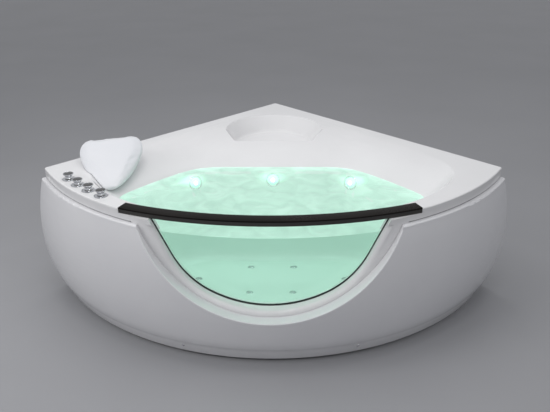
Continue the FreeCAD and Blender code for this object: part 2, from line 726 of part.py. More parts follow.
def segment(a, b):
    return Part.LineSegment(a, b).toShape()


def apron_arc(offset, z0, z1):
    middle = (z0 + z1) / 2
    return Part.Arc(rz(apron_profile(offset, z0), z0), rz(apron_profile(offset, middle), middle),
                    rz(apron_profile(offset, z1), z1)).toShape()


def make_apron():
    wall = v.apron_wall
    top = v.apron_top
    low = v.apron_bottom
    step = v.plinth_setback
    shoulder = top - v.apron_edge_round
    flange_in = v.front_radius - v.apron_flange + wall
    a = rz(apron_profile(step, low), low)
    b = rz(apron_profile(step, v.plinth_top - step), v.plinth_top - step)
    c = rz(apron_profile(0, v.plinth_top), v.plinth_top)
    d = rz(apron_profile(0, shoulder), shoulder)
    e = rz(apron_profile(0, shoulder) - v.apron_edge_round, top)
    bulge = rz(apron_profile(0, shoulder) - 0.25 * v.apron_edge_round, top - 0.26 * v.apron_edge_round)
    f = rz(flange_in, top)
    g = rz(flange_in, top - wall)
    inner_top = top - wall
    h = rz(apron_profile(wall, inner_top), inner_top)
    k = rz(apron_profile(wall, v.plinth_top), v.plinth_top)
    l = rz(apron_profile(wall + step, v.plinth_top - step), v.plinth_top - step)
    n = rz(apron_profile(wall + step, low), low)
    edges = [
        apron_arc(step, low, v.plinth_top - step), segment(b, c), apron_arc(0, v.plinth_top, shoulder),
        Part.Arc(d, bulge, e).toShape(), segment(e, f), segment(f, g), segment(g, h),
        apron_arc(wall, v.plinth_top, inner_top), segment(k, l),
        apron_arc(wall + step, low, v.plinth_top - step), segment(n, a),
    ]
    panel = revolved(edges).common(quadrant(-v.wall_gap, -10, v.rim_height + 10))
    opening = u_block(0, v.rim_height + 20, apron=True)
    skirt_room = u_block(v.skirt_overlap + 1, v.rim_height, apron=True)
    skirt_room = skirt_room.common(cylinder(v.front_radius + v.skirt_gap, 0, v.rim_height, 0, v.axis_y))
    panel = panel.cut([opening, skirt_room])

    return_block = u_block(wall, v.rim_height, apron=True).cut(u_block(0, v.rim_height + 20, apron=True))
    body_edges = [
        apron_arc(0.0, low + 60, shoulder), Part.Arc(d, bulge, e).toShape(),
        segment(e, rz(v.front_radius + v.skirt_gap, top)),
        segment(rz(v.front_radius + v.skirt_gap, top), rz(v.front_radius + v.skirt_gap, low + 60)),
        segment(rz(v.front_radius + v.skirt_gap, low + 60), rz(apron_profile(0, low + 60), low + 60)),
    ]
    panel = panel.fuse(return_block.common(revolved(body_edges))).removeSplitter()
    rims = [e for e in panel.Edges if apron_opening_edge(e)]
    panel = panel.makeFillet(v.sill_round, rims)
    holes = []
    for angle in screw_angles():
        point, outward = screw_place(angle)
        holes.append(Part.makeCylinder(v.screw_shank_radius + 0.3, 40, point - outward * 20, outward))
        holes.append(Part.makeCylinder(v.screw_cap_radius + 0.4, 20, point - outward * 0.6, outward))
    return panel.cut(holes)


def apron_opening_edge(edge):
    """True for the edges where the opening's sides meet the apron's outer surface."""
    if edge.BoundBox.ZMin < v.apron_sill - 5 or edge.BoundBox.ZMax > v.apron_top - 1:
        return False
    cz = v.apron_sill + v.apron_sill_radius
    for vertex in edge.Vertexes:
        p = vertex.Point
        if abs(math.hypot(p.x, p.z - cz) - v.apron_sill_radius) > 0.6:
            return False
        if abs(math.hypot(p.x, p.y - v.axis_y) - apron_profile(0, p.z)) > 0.6:
            return False
    return True


def screw_angles():
    return [-v.outer_screw_angle, -v.inner_screw_angle, v.inner_screw_angle, v.outer_screw_angle]


def screw_place(angle):
    """A screw's seat on the plinth and the direction straight out of it."""
    z = v.screw_height
    r = apron_profile(v.plinth_setback, z)
    slope = math.atan2(z - v.belly_height, r - v.belly_centre)
    a = math.radians(angle)
    outward = V(math.cos(slope) * math.sin(a), -math.cos(slope) * math.cos(a), math.sin(slope))
    return on_front_arc(r, angle, z), outward


feature("front_apron", make_apron())


def make_apron_fittings():
    seal_outer = v.front_radius - 0.5
    seal = annulus(seal_outer - v.edge_seal_width, seal_outer, v.axis_y, v.apron_top, v.lip_bottom)
    seal = seal.common(quadrant(-v.wall_gap - 2, 0, v.rim_height))
    seal = seal.cut(u_block(v.skirt_overlap + 6, v.rim_height, apron=True))
    feature("apron_edge_seal", seal)

    brackets = []
    screws = []
    for number, angle in enumerate(screw_angles()):
        point, outward = screw_place(angle)
        radial = V(outward.x, outward.y, 0).normalize()
        side = UP.cross(radial)
        inner = point - outward * (v.apron_wall + 0.5)
        thick = v.bracket_thickness
        upward = outward.cross(side).normalize()
        upward = upward if upward.z > 0 else upward.negative()
        low = inner - upward * 14
        bend = v.frame_under - thick
        high = inner + upward * ((bend - inner.z) / upward.z)
        back = on_front_arc(v.frame_radius - v.frame_tube / 2, angle, 0)
        back_low = V(back.x, back.y, bend)
        back_high = V(back.x, back.y, v.frame_under)
        top_out = inner + upward * ((v.frame_under - inner.z) / upward.z)
        run = [low, top_out, back_high, back_low, high - radial * thick, low - outward * thick]
        wire = Part.makePolygon([p - side * (v.bracket_width / 2) for p in run + [run[0]]])
        plate = Part.Face(wire).extrude(side * v.bracket_width)
        hole = Part.makeCylinder(v.screw_shank_radius, 60, point - outward * 30, outward)
        brackets.append(plate.cut(hole))
        cap = turned(f"apron_screw_{number}", [
            ("0", "0"), ("Sizes.screw_shank_radius", "0"),
            ("Sizes.screw_shank_radius", "Sizes.screw_length"),
            ("Sizes.screw_cap_radius", "Sizes.screw_length"),
            ("Sizes.screw_cap_radius", "Sizes.screw_length + Sizes.screw_cap_rise - 1.5"),
            ("Sizes.screw_cap_radius - 2", "Sizes.screw_length + Sizes.screw_cap_rise"),
            ("0", "Sizes.screw_length + Sizes.screw_cap_rise"),
        ], along(point - outward * (v.screw_length + 0.6), outward))
        screws.append(cap)
    feature("apron_brackets", Part.makeCompound(brackets))
    group("apron_screws", screws)


make_apron_fittings()


# ---------------------------------------------------------------- deck controls
def make_controls():
    escutcheons = []
    nuts = []
    for i, name in enumerate(KNOB_NAMES):
        place = knob_place(i, v.rim_height)
        turn = -v.first_knob_angle + i * v.knob_pitch_angle
        escutcheons.append(turned(f"escutcheon_{name}", [
            ("Sizes.neck_radius + Sizes.neck_gap", "0"), ("Sizes.escutcheon_radius", "0"),
            ("Sizes.escutcheon_radius", "1.5"),
            ("Sizes.knob_waist + 5", "Sizes.escutcheon_height"),
            ("Sizes.neck_radius + Sizes.neck_gap", "Sizes.escutcheon_height"),
        ], at(place.x, place.y, place.z)))
        lift = v.escutcheon_height + v.knob_lift
        keep(turned(f"knob_{name}", [
            ("0", "Sizes.spindle_reach"), ("Sizes.spindle_radius", "Sizes.spindle_reach"),
            ("Sizes.spindle_radius", "0"), ("Sizes.knob_waist + 3.5", "0"),
            ("Sizes.knob_waist + 3.5", "2"), ("Sizes.knob_waist", "4.5"),
            ("Sizes.knob_waist + 0.6", "8"), ("Sizes.knob_waist + 2.6", "11.5"),
            ("Sizes.knob_radius - 0.8", "Sizes.knob_height - 4"),
            ("Sizes.knob_radius", "Sizes.knob_height - 2"),
            ("Sizes.knob_radius - 1.2", "Sizes.knob_height"),
            ("Sizes.knob_radius - 4", "Sizes.knob_height"),
            ("Sizes.knob_radius - 5", "Sizes.knob_height - 1"),
            ("0", "Sizes.knob_height - 1"),
        ], at(place.x, place.y, place.z + lift, turn)), f"knob_{name}")
        keep(turned(f"spindle_{name}", [
            ("0", "0"), ("Sizes.spindle_radius", "0"),
            ("Sizes.spindle_radius", "Sizes.spindle_depth + Sizes.spindle_reach"),
            ("0", "Sizes.spindle_depth + Sizes.spindle_reach"),
        ], at(place.x, place.y, place.z + lift - v.spindle_depth, turn)), f"spindle_{name}")
        make_valve(name, place, turn)
        nut = primitive("Part::Prism", f"nut_block_{name}",
                        at(place.x, place.y, v.deck_under - v.nut_height, turn),
                        Circumradius="Sizes.nut_radius", Height="Sizes.nut_height")
        hole = primitive("Part::Cylinder", f"nut_hole_{name}",
                         at(place.x, place.y, v.deck_under - v.nut_height, turn),
                         Radius="Sizes.neck_radius", Height="Sizes.nut_height")
        nuts.append(boolean("Part::Cut", f"nut_{name}", nut, hole))
    group("knob_escutcheons", escutcheons)
    group("valve_nuts", nuts)


def make_valve(name, place, turn):
    """A valve or control body hanging in its deck hole, with the spindle's bore."""
    bore = "Sizes.spindle_radius + Sizes.spindle_gap"
    top = "Sizes.valve_length + Sizes.nut_height + Sizes.shell_wall + Sizes.escutcheon_height - 1"
    body_top = "Sizes.valve_length"
    bore_floor = ("Sizes.valve_length + Sizes.nut_height + Sizes.shell_wall + Sizes.escutcheon_height"
                  " + Sizes.knob_lift - Sizes.spindle_depth - 1")
    outline = [
        ("0", "0"), ("Sizes.valve_radius", "0"), ("Sizes.valve_radius", body_top),
        ("Sizes.neck_radius", body_top), ("Sizes.neck_radius", top), (bore, top),
        (bore, bore_floor), ("0", bore_floor),
    ]
    z = v.deck_under - v.nut_height - v.valve_length
    body = turned(f"valve_{name}_body", outline, at(place.x, place.y, z, turn))
    if name in ("hot", "cold"):
        spigot = primitive("Part::Cylinder", f"supply_{name}",
                           at(place.x, place.y, z - v.supply_length, turn),
                           Radius="Sizes.supply_radius", Height="Sizes.supply_length")
        keep(boolean("Part::Fuse", f"valve_{name}", body, spigot), f"valve_{name}")
    else:
        keep(body, f"valve_{name}")


make_controls()


# ---------------------------------------------------------------- overflow filler
def make_filler():
    point, normal = filler_place()
    seat = point - normal * v.filler_seat
    keep(turned("filler_plate", [
        ("0", "0"), ("Sizes.filler_radius", "0"), ("Sizes.filler_radius", "2.5"),
        ("Sizes.filler_radius - 5", "Sizes.filler_height"), ("0", "Sizes.filler_height"),
    ], along(seat, normal)), "filler_plate")
    barrel = turned("filler_barrel", [
        ("0", "0"), ("Sizes.filler_neck", "0"), ("Sizes.filler_neck", "Sizes.filler_length"),
        ("0", "Sizes.filler_length"),
    ], along(seat - normal * v.filler_length, normal))
    under = filler_inlet(point, normal)
    inlet = primitive("Part::Cylinder", "filler_inlet", at(under.x, under.y, under.z),
                      Radius="Sizes.hose_radius + 2", Height="Sizes.filler_neck + 14")
    keep(boolean("Part::Fuse", "filler_body", barrel, inlet), "filler_body")
    keep(turned("filler_nut", [
        ("Sizes.filler_neck", "0"), ("Sizes.filler_nut", "0"), ("Sizes.filler_nut", "Sizes.nut_height"),
        ("Sizes.filler_neck", "Sizes.nut_height"),
    ], along(point - normal * (v.shell_wall + 5 + v.nut_height), normal)), "filler_nut")


make_filler()


# ---------------------------------------------------------------- waste
def make_waste():
    x, y, floor = v.waste_x, v.waste_y, v.basin_floor
    keep(turned("waste_flange", [
        ("Sizes.waste_bore", "0"), ("Sizes.waste_neck", "0"),
        ("Sizes.waste_neck", "Sizes.waste_drop"), ("Sizes.waste_flange_radius", "Sizes.waste_drop"),
        ("Sizes.waste_flange_radius", "Sizes.waste_drop + 1"),
        ("Sizes.waste_flange_radius - 3", "Sizes.waste_drop + 3"),
        ("Sizes.waste_bore", "Sizes.waste_drop + 3"),
    ], at(x, y, floor - v.waste_drop)), "waste_flange")
    keep(turned("drain_plug", [
        ("0", "0"), ("Sizes.plug_stem_radius", "0"),
        ("Sizes.plug_stem_radius", "Sizes.plug_stem_length"),
        ("Sizes.plug_radius", "Sizes.plug_stem_length"),
        ("Sizes.plug_radius", "Sizes.plug_stem_length + Sizes.plug_height - 2"),
        ("Sizes.plug_radius - 4", "Sizes.plug_stem_length + Sizes.plug_height"),
        ("0", "Sizes.plug_stem_length + Sizes.plug_height"),
    ], at(x, y, floor + 3.4 - v.plug_stem_length)), "drain_plug")
    bar = primitive("Part::Box", "guide_bar", FreeCAD.Placement(
        V(x - v.waste_bore + 0.2, y - 3, floor - 26), FreeCAD.Rotation()),
        Length="2 * Sizes.waste_bore - 0.4", Width="6", Height="10")
    eye = primitive("Part::Cylinder", "guide_eye", at(x, y, floor - 26),
                    Radius="Sizes.plug_stem_radius + 4", Height="10")
    hole = primitive("Part::Cylinder", "guide_hole", at(x, y, floor - 26),
                     Radius="Sizes.plug_stem_radius + Sizes.spindle_gap", Height="10")
    spider = boolean("Part::Fuse", "guide_spider", bar, eye)
    keep(boolean("Part::Cut", "plug_guide", spider, hole), "plug_guide")

    trap_top = floor - v.waste_drop
    trap_low = trap_top - v.trap_height
    trap = cylinder(v.trap_radius, trap_low, trap_top, x, y)
    trap = trap.makeFillet(6, [e for e in trap.Edges if e.BoundBox.ZMax < trap_low + 0.1])
    socket_z = trap_low + v.outlet_radius + 8
    pipe_start = V(x, y + v.trap_radius - 6, socket_z)
    socket = Part.makeCylinder(v.outlet_radius + 5, 24, pipe_start, V(0, 1, 0))
    boss = Part.makeCylinder(v.cable_radius + 4, v.trap_radius + 8, V(x, y, v.drain_cable_height),
                             V(-1, 0, 0))
    trap = trap.fuse([socket, boss])
    inside = cylinder(v.trap_radius - 3, trap_low + 3, trap_top - 3, x, y)
    neck = cylinder(v.waste_bore, trap_top - 5, trap_top + 1, x, y)
    bore = Part.makeCylinder(v.outlet_radius, 40, pipe_start - V(0, 8, 0), V(0, 1, 0))
    feature("waste_trap", trap.cut([inside, neck, bore]))
    pipe = Part.makeCylinder(v.outlet_radius, v.outlet_length, pipe_start + V(0, 4, 0), V(0, 1, 0))
    collar_start = pipe_start + V(0, 4 + v.outlet_length - v.outlet_spigot - 8, 0)
    pipe = pipe.fuse(Part.makeCylinder(v.outlet_radius + 4, 8, collar_start, V(0, 1, 0)))
    hollow = Part.makeCylinder(v.outlet_radius - v.outlet_wall, v.outlet_length + 2,
                               pipe_start + V(0, 3, 0), V(0, 1, 0))
    feature("waste_outlet", pipe.cut(hollow))
    keep(turned("waste_nut", [
        ("Sizes.waste_neck", "0"), ("Sizes.waste_flange_radius + 3", "0"),
        ("Sizes.waste_flange_radius + 3", "Sizes.nut_height"),
        ("Sizes.waste_neck", "Sizes.nut_height"),
    ], at(x, y, v.board_under - v.nut_height)), "waste_nut")


make_waste()


# ---------------------------------------------------------------- lights
def make_lights():
    bezels = []
    lenses = []
    bodies = []
    nuts = []
    for number, (point, normal) in enumerate(light_places()):
        seat = point - normal * 1.5
        bezels.append(turned(f"light_bezel_{number}", [
            ("Sizes.light_lens_radius", "0"), ("Sizes.light_bezel_radius", "0"),
            ("Sizes.light_bezel_radius", "1.5"),
            ("Sizes.light_bezel_radius - 3", "Sizes.light_bezel_height"),
            ("Sizes.light_lens_radius", "Sizes.light_bezel_height"),
        ], along(seat, normal)))
        lenses.append(turned(f"light_lens_{number}", [
            ("0", "0"), ("Sizes.light_lens_radius", "0"),
            ("Sizes.light_lens_radius", "Sizes.light_bezel_height - 1"),
            ("Sizes.light_lens_radius - 5", "Sizes.light_bezel_height + 2"),
            ("Sizes.light_lens_radius - 13", "Sizes.light_bezel_height + 3.5"),
            ("0", "Sizes.light_bezel_height + 4"),
        ], along(seat, normal)))
        bodies.append(turned(f"light_body_{number}", [
            ("0", "0"), ("Sizes.light_body_radius - 5", "0"),
            ("Sizes.light_body_radius - 5", "8"), ("Sizes.light_body_radius", "8"),
            ("Sizes.light_body_radius", "Sizes.light_body_length"),
            ("0", "Sizes.light_body_length"),
        ], along(seat - normal * v.light_body_length, normal)))
        nuts.append(turned(f"light_nut_{number}", [
            ("Sizes.light_body_radius", "0"), ("Sizes.light_nut", "0"),
            ("Sizes.light_nut", "Sizes.nut_height"),
            ("Sizes.light_body_radius", "Sizes.nut_height"),
        ], along(point - normal * (v.shell_wall + 4 + v.nut_height), normal)))
    group("light_bezels", bezels)
    group("light_lenses", lenses)
    group("light_housings", bodies)
    group("light_nuts", nuts)


make_lights()


# ---------------------------------------------------------------- air jets
def make_air_system():
    caps = []
    bodies = []
    for number, place in enumerate(jet_places(v.basin_floor)):
        caps.append(turned(f"jet_cap_{number}", [
            ("0", "0"), ("Sizes.jet_cap_radius", "0"), ("Sizes.jet_cap_radius", "1"),
            ("Sizes.jet_cap_radius - 4", "Sizes.jet_cap_height"), ("0", "Sizes.jet_cap_height"),
        ], at(place.x, place.y, place.z)))
        bodies.append(turned(f"jet_body_{number}", [
            ("0", "0"), ("Sizes.jet_body_radius", "0"), ("Sizes.jet_body_radius", "Sizes.jet_tail"),
            ("0", "Sizes.jet_tail"),
        ], at(place.x, place.y, place.z - v.jet_tail)))
    group("air_jet_caps", caps)
    group("air_jet_bodies", bodies)

    z = v.basin_floor - v.jet_tail - v.air_tube_radius
    spots = jet_places(z)
    left, front_l, front_r, right, back_r, back_l = spots
    middle_back = (back_l + back_r) * 0.5
    ring = [middle_back, back_l, left, front_l, front_r, right, back_r, middle_back]
    shape = tube_run(ring[:-1] + [middle_back + V(0.5, 0, 0)], v.air_tube_radius, 26)
    feature("air_ring", shape)


make_air_system()


# ---------------------------------------------------------------- frame and feet
def bar_box(name, start, end, size, extra, z):
    """A square bar between two points in plan, its sizes bound to the sheet."""
    run = end - start
    length = run.Length + extra
    turn = math.degrees(math.atan2(run.y, run.x))
    direction = V(run.x, run.y, 0).normalize()
    side = V(-direction.y, direction.x, 0)
    wide = evaluate(size)
    base = start - direction * (extra / 2) - side * (wide / 2)
    obj = primitive("Part::Box", name, at(base.x, base.y, z, turn), Width=size, Height=size)
    obj.Length = length
    return obj


def make_frame():
    corners = frame_corners()
    runs = [(corners[i], corners[(i + 1) % 5]) for i in range(5)]
    for back in (v.cross_tube_one, v.cross_tube_two, v.plate_tube_one, v.plate_tube_two):
        y = v.corner_y - back
        half = frame_half_width(y, corners)
        runs.append((V(-half, y, 0), V(half, y, 0)))
    outer = []
    inner = []
    tube = v.frame_tube
    wall = v.frame_tube_wall
    for number, (start, end) in enumerate(runs):
        ring = number < 5
        outer.append(bar_box(f"frame_outer_{number}", start, end, "Sizes.frame_tube",
                             tube * 0.7 if ring else 0, v.frame_under))
        inner.append(bar_box(f"frame_inner_{number}", start, end,
                             "Sizes.frame_tube - 2 * Sizes.frame_tube_wall",
                             tube * 0.7 - 2 * wall if ring else -tube, v.frame_under + wall))
    solid = doc.addObject("Part::MultiFuse", "frame_solid")
    solid.Shapes = outer
    void = doc.addObject("Part::MultiFuse", "frame_void")
    void.Shapes = inner
    hollow = boolean("Part::Cut", "frame_hollow", solid, void)
    holes = []
    for number, place in enumerate(foot_places()):
        holes.append(primitive("Part::Cylinder", f"rod_hole_{number}",
                               at(place.x, place.y, v.frame_under - 1),
                               Radius="Sizes.rod_radius", Height="Sizes.frame_tube - 1"))
    drill = doc.addObject("Part::MultiFuse", "rod_holes")
    drill.Shapes = holes
    keep(boolean("Part::Cut", "base_frame", hollow, drill), "base_frame")

    posts = []
    for number, corner in enumerate([corners[0], corners[1], corners[4]]):
        turn = 45 if number == 0 else 0
        outside = primitive("Part::Box", f"post_outer_{number}",
                            Length="Sizes.frame_tube", Width="Sizes.frame_tube",
                            Height="Derived.deck_under - Derived.board_under")
        inside = primitive("Part::Box", f"post_inner_{number}",
                           Length="Sizes.frame_tube - 2 * Sizes.frame_tube_wall",
                           Width="Sizes.frame_tube - 2 * Sizes.frame_tube_wall",
                           Height="Derived.deck_under - Derived.board_under")
        for obj, size in ((outside, tube), (inside, tube - 2 * wall)):
            shift = FreeCAD.Placement(V(-size / 2, -size / 2, 0), FreeCAD.Rotation())
            obj.Placement = at(corner.x, corner.y, v.board_under, turn).multiply(shift)
        posts.append(boolean("Part::Cut", f"frame_post_{number}", outside, inside))
    group("frame_posts", posts)

    level = basin_levels()[-1]
    outline = ring_curve(ring_points(level, -10, v.basin_floor - v.board_under))
    board = Part.Face(Part.Wire([outline.toShape()]))
    board = board.extrude(V(0, 0, v.board_thickness))
    holes = [Part.makeCylinder(v.jet_body_radius + 4, 60, p - UP * 50) for p in jet_places(v.basin_floor)]
    holes.append(cylinder(v.waste_neck + 2, v.board_under - 5, v.floor_under + 5, v.waste_x, v.waste_y))
    feature("floor_board", board.cut(holes))


def frame_half_width(y, corners):
    """Half the frame's inside width at a depth, up to the middle of its side tubes."""
    back, side, front = corners[0], corners[1], corners[2]
    if y >= side.y:
        share = (back.y - y) / (back.y - side.y)
        return side.x * share
    share = (side.y - y) / (side.y - front.y)
    return side.x + (front.x - side.x) * share


def make_feet():
    rods = []
    nuts = []
    pads = []
    for number, corner in enumerate(foot_places()):
        rods.append(primitive("Part::Cylinder", f"foot_rod_{number}",
                              at(corner.x, corner.y, v.foot_pad_height - 4), Radius="Sizes.rod_radius",
                              Height="Derived.board_under - 3 - Sizes.foot_pad_height + 4"))
        pads.append(turned(f"foot_pad_{number}", [
            ("0", "0"), ("Sizes.foot_pad_radius", "0"),
            ("Sizes.foot_pad_radius", "Sizes.foot_pad_height - 6"),
            ("Sizes.rod_radius + 5", "Sizes.foot_pad_height"),
            ("Sizes.rod_radius", "Sizes.foot_pad_height"),
            ("Sizes.rod_radius", "Sizes.foot_pad_height - 4"), ("0", "Sizes.foot_pad_height - 4"),
        ], at(corner.x, corner.y, 0)))
        hexagon = primitive("Part::Prism", f"foot_hex_{number}",
                            at(corner.x, corner.y, v.frame_under - v.foot_nut_height),
                            Circumradius="Sizes.foot_nut_radius", Height="Sizes.foot_nut_height")
        hole = primitive("Part::Cylinder", f"foot_hole_{number}",
                         at(corner.x, corner.y, v.frame_under - v.foot_nut_height),
                         Radius="Sizes.rod_radius", Height="Sizes.foot_nut_height")
        nuts.append(boolean("Part::Cut", f"foot_nut_{number}", hexagon, hole))
    group("foot_rods", rods)
    group("foot_nuts", nuts)
    group("foot_pads", pads)


make_frame()
make_feet()


# ---------------------------------------------------------------- blower and control box
def make_equipment():
    low = v.board_under
    y = v.blower_y
    keep(primitive("Part::Box", "equipment_plate", at(
        -v.plate_half_width, v.corner_y - v.plate_tube_one - v.frame_tube / 2, low),
        Length="2 * Sizes.plate_half_width",
        Width="Sizes.plate_tube_one - Sizes.plate_tube_two + Sizes.frame_tube",
        Height="Sizes.plate_thickness"), "equipment_plate")
    base = v.plate_top
    keep(turned("blower_housing", [
        ("0", "0"), ("Sizes.blower_radius", "0"), ("Sizes.blower_radius", "Sizes.blower_height"),
        ("Sizes.shaft_radius + 0.3", "Sizes.blower_height"),
        ("Sizes.shaft_radius + 0.3", "Sizes.blower_height - Sizes.blower_wall"),
        ("Sizes.blower_radius - Sizes.blower_wall", "Sizes.blower_height - Sizes.blower_wall"),
        ("Sizes.blower_radius - Sizes.blower_wall", "Sizes.blower_wall"), ("0", "Sizes.blower_wall"),
    ], at(0, y, base)), "blower_housing")
    keep(turned("blower_impeller", [
        ("0", "0"), ("Sizes.impeller_radius", "0"), ("Sizes.impeller_radius", "Sizes.impeller_height"),
        ("Sizes.impeller_radius - 14", "Sizes.impeller_height"),
        ("Sizes.impeller_radius - 20", "6"), ("Sizes.shaft_radius", "6"),
        ("Sizes.shaft_radius", "Sizes.blower_height"), ("0", "Sizes.blower_height"),
    ], at(0, y, base + v.blower_wall + 18)), "blower_impeller")
    keep(turned("blower_motor", [
        ("Sizes.shaft_radius + Sizes.spindle_gap", "0"), ("Sizes.motor_radius", "0"),
        ("Sizes.motor_radius", "Sizes.motor_height - 6"),
        ("Sizes.motor_radius - 6", "Sizes.motor_height"), ("0", "Sizes.motor_height"),
        ("0", "30"), ("Sizes.shaft_radius + Sizes.spindle_gap", "30"),
    ], at(0, y, base + v.blower_height)), "blower_motor")

    start = V(-v.blower_radius + 2, y, base + v.blower_height / 2)
    ring_z = v.basin_floor - v.jet_tail - v.air_tube_radius
    end_y = v.jet_y + v.jet_ring_half + v.air_tube_radius
    points = [start + V(-2, 0, 0), start + V(-110, 0, 0), V(start.x - 110, y - 190, start.z),
              V(start.x - 110, y - 190, ring_z), V(0, y - 240, ring_z), V(0, end_y, ring_z)]
    feature("air_hose", tube_run(points, v.air_tube_radius, 30))

    x = v.blower_radius + 20
    box = primitive("Part::Box", "control_case", at(x, y - v.box_width / 2, base),
                    Length="Sizes.box_length", Width="Sizes.box_width", Height="Sizes.box_height")
    room = primitive("Part::Box", "control_room",
                     at(x + v.box_wall, y - v.box_width / 2 + v.box_wall, base + v.box_wall),
                     Length="Sizes.box_length - 2 * Sizes.box_wall",
                     Width="Sizes.box_width - 2 * Sizes.box_wall",
                     Height="Sizes.box_height - 2 * Sizes.box_wall")
    keep(boolean("Part::Cut", "control_box", box, room), "control_box")
    gland_at = V(x + v.box_length, y, base + v.box_height / 2)
    keep(turned("cable_gland", [
        ("4", "0"), ("Sizes.gland_radius + 3", "0"), ("Sizes.gland_radius + 3", "6"),
        ("Sizes.gland_radius", "6"), ("Sizes.gland_radius - 2", "Sizes.gland_length"),
        ("4", "Sizes.gland_length"),
    ], along(gland_at, V(1, 0, 0))), "cable_gland")


make_equipment()


# ---------------------------------------------------------------- headrest
def pillow_stations():
    """Sections of the headrest from its tip to its top: place, half-width, crown and depth."""
    tip = V(-v.pillow_tip_x, v.corner_y - v.pillow_tip_back, v.pillow_tip_height)
    top = V(-v.pillow_top_x, v.corner_y - v.pillow_top_back, v.pillow_top_height)
    run = top - tip
    along_run = V(run).normalize()
    across = V(1, 0.26, 0.07)
    across = (across - along_run * across.dot(along_run)).normalize()
    out = across.cross(along_run).normalize()
    shares = [
        (0.0, 0.18, 0.3, 0.14), (0.06, 0.34, 0.55, 0.24), (0.2, 0.56, 0.85, 0.44),
        (0.42, 0.80, 1.0, 0.72), (0.64, 0.97, 1.0, 0.92), (0.80, 1.0, 0.9, 1.0),
        (0.93, 0.90, 0.6, 0.96), (1.0, 0.66, 0.25, 0.80),
    ]
    return tip, run, across, out, shares


def make_pillow():
    tip, run, across, out, shares = pillow_stations()
    wires = []
    for share, wide, crown, deep in shares:
        centre = tip + run * share
        half = v.pillow_half_width * wide
        left = centre - across * half
        right = centre + across * half
        front = centre + out * (v.pillow_crown * crown)
        back = centre - out * (v.pillow_depth * deep)
        curve = Part.BSplineCurve()
        ring = []
        for i in range(12):
            a = 2 * math.pi * i / 12
            depth = (front - centre) if math.sin(a) >= 0 else (centre - back)
            ring.append(centre + across * (half * math.cos(a)) + depth * math.sin(a))
        curve.interpolate(ring, PeriodicFlag=True)
        wires.append(Part.Wire([curve.toShape()]))
    body = Part.makeLoft(wires, True, False)
    gap = v.pillow_gap
    room = basin_solid(-gap, -gap).fuse(quadrant(-8, v.rim_height + gap, v.rim_height + 400))
    body = body.common(room)
    body = max(body.Solids, key=lambda s: s.Volume)
    pins = []
    holes = []
    for number, place in enumerate(pin_places(v.deck_under - 9)):
        pins.append(primitive("Part::Cylinder", f"headrest_pin_{number}",
                              at(place.x, place.y, place.z),
                              Radius="Sizes.pin_radius", Height="Sizes.pin_length"))
        holes.append(Part.makeCylinder(v.pin_radius, v.pin_length, place))
    feature("headrest_pillow", body.cut(holes))
    group("headrest_pins", pins)


make_pillow()


# ---------------------------------------------------------------- pipes and cables
def make_pipes():
    hot, cold, drain, air = (knob_place(i, 0) for i in range(4))
    valve_low = v.deck_under - v.nut_height - v.valve_length
    level = valve_low + v.valve_length * 0.4
    across = cold - hot
    bar = Part.makeCylinder(v.hose_radius + 2, across.Length, V(hot.x, hot.y, level), across)
    middle = (hot + cold) * 0.5 + UP * level
    bar = bar.fuse(Part.makeCylinder(v.hose_radius + 1, 34, middle - UP * 34))
    ends = [Part.makeCylinder(v.valve_radius, 80, V(p.x, p.y, level - 40)) for p in (hot, cold)]
    feature("mixing_tee", bar.cut(ends))

    point, normal = filler_place()
    under = filler_inlet(point, normal)
    start = middle - UP * 34
    low = v.hose_low
    halfway = (start + under) * 0.5
    inward = V(-halfway.x, v.axis_y - halfway.y, 0).normalize() * v.hose_detour
    aside = V(-start.x, v.axis_y - start.y, 0).normalize() * v.hose_detour
    route = [start, V(start.x, start.y, low), V(start.x + aside.x, start.y + aside.y, low),
             V(halfway.x + inward.x, halfway.y + inward.y, low),
             V(under.x, under.y, low), under]
    feature("filler_hose", tube_run(route, v.hose_radius, 24))

    waste = V(v.waste_x - v.trap_radius - 8, v.waste_y, v.drain_cable_height)
    route = [V(drain.x, drain.y, valve_low), V(drain.x, drain.y, waste.z),
             V(waste.x - 90, waste.y, waste.z), waste]
    feature("drain_cable", tube_run(route, v.cable_radius, 40))

    case_x = v.blower_radius + 20 + v.box_length / 2
    case_y = v.blower_y - v.box_width / 2
    case_z = v.plate_top + v.box_height / 2
    aisle = v.corner_y - v.plate_tube_one - 38
    route = [V(air.x, air.y, valve_low), V(air.x, air.y, v.cable_height),
             V(-v.plate_half_width * 1.7, aisle, v.cable_height), V(case_x, aisle, v.cable_height),
             V(case_x, aisle, case_z), V(case_x, case_y, case_z)]
    feature("air_switch_tube", tube_run(route, v.cable_radius, 24))


make_pipes()


# ---------------------------------------------------------------- check and write
doc.recompute()
for obj in doc.Objects:
    bad = [state for state in obj.State if state in ("Invalid", "Error")]
    if bad:
        raise RuntimeError(f"{obj.Name} ({obj.Label}) is {bad}")
os.makedirs("parts", exist_ok=True)
for obj in NODES:
    shape = obj.Shape
    if shape.isNull() or not shape.isValid():
        raise RuntimeError(f"{obj.Label} has no valid shape")
    shape.exportStep(f"parts/{obj.Label}.step")
    print(f"{obj.Label:22s} solids {len(shape.Solids):2d}  volume {shape.Volume / 1000:10.1f} cm3")
print("nodes", len(NODES))
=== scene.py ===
import math
import bpy
import bmesh
import numpy as np
from mathutils import Vector, Matrix
from mathutils.bvhtree import BVHTree


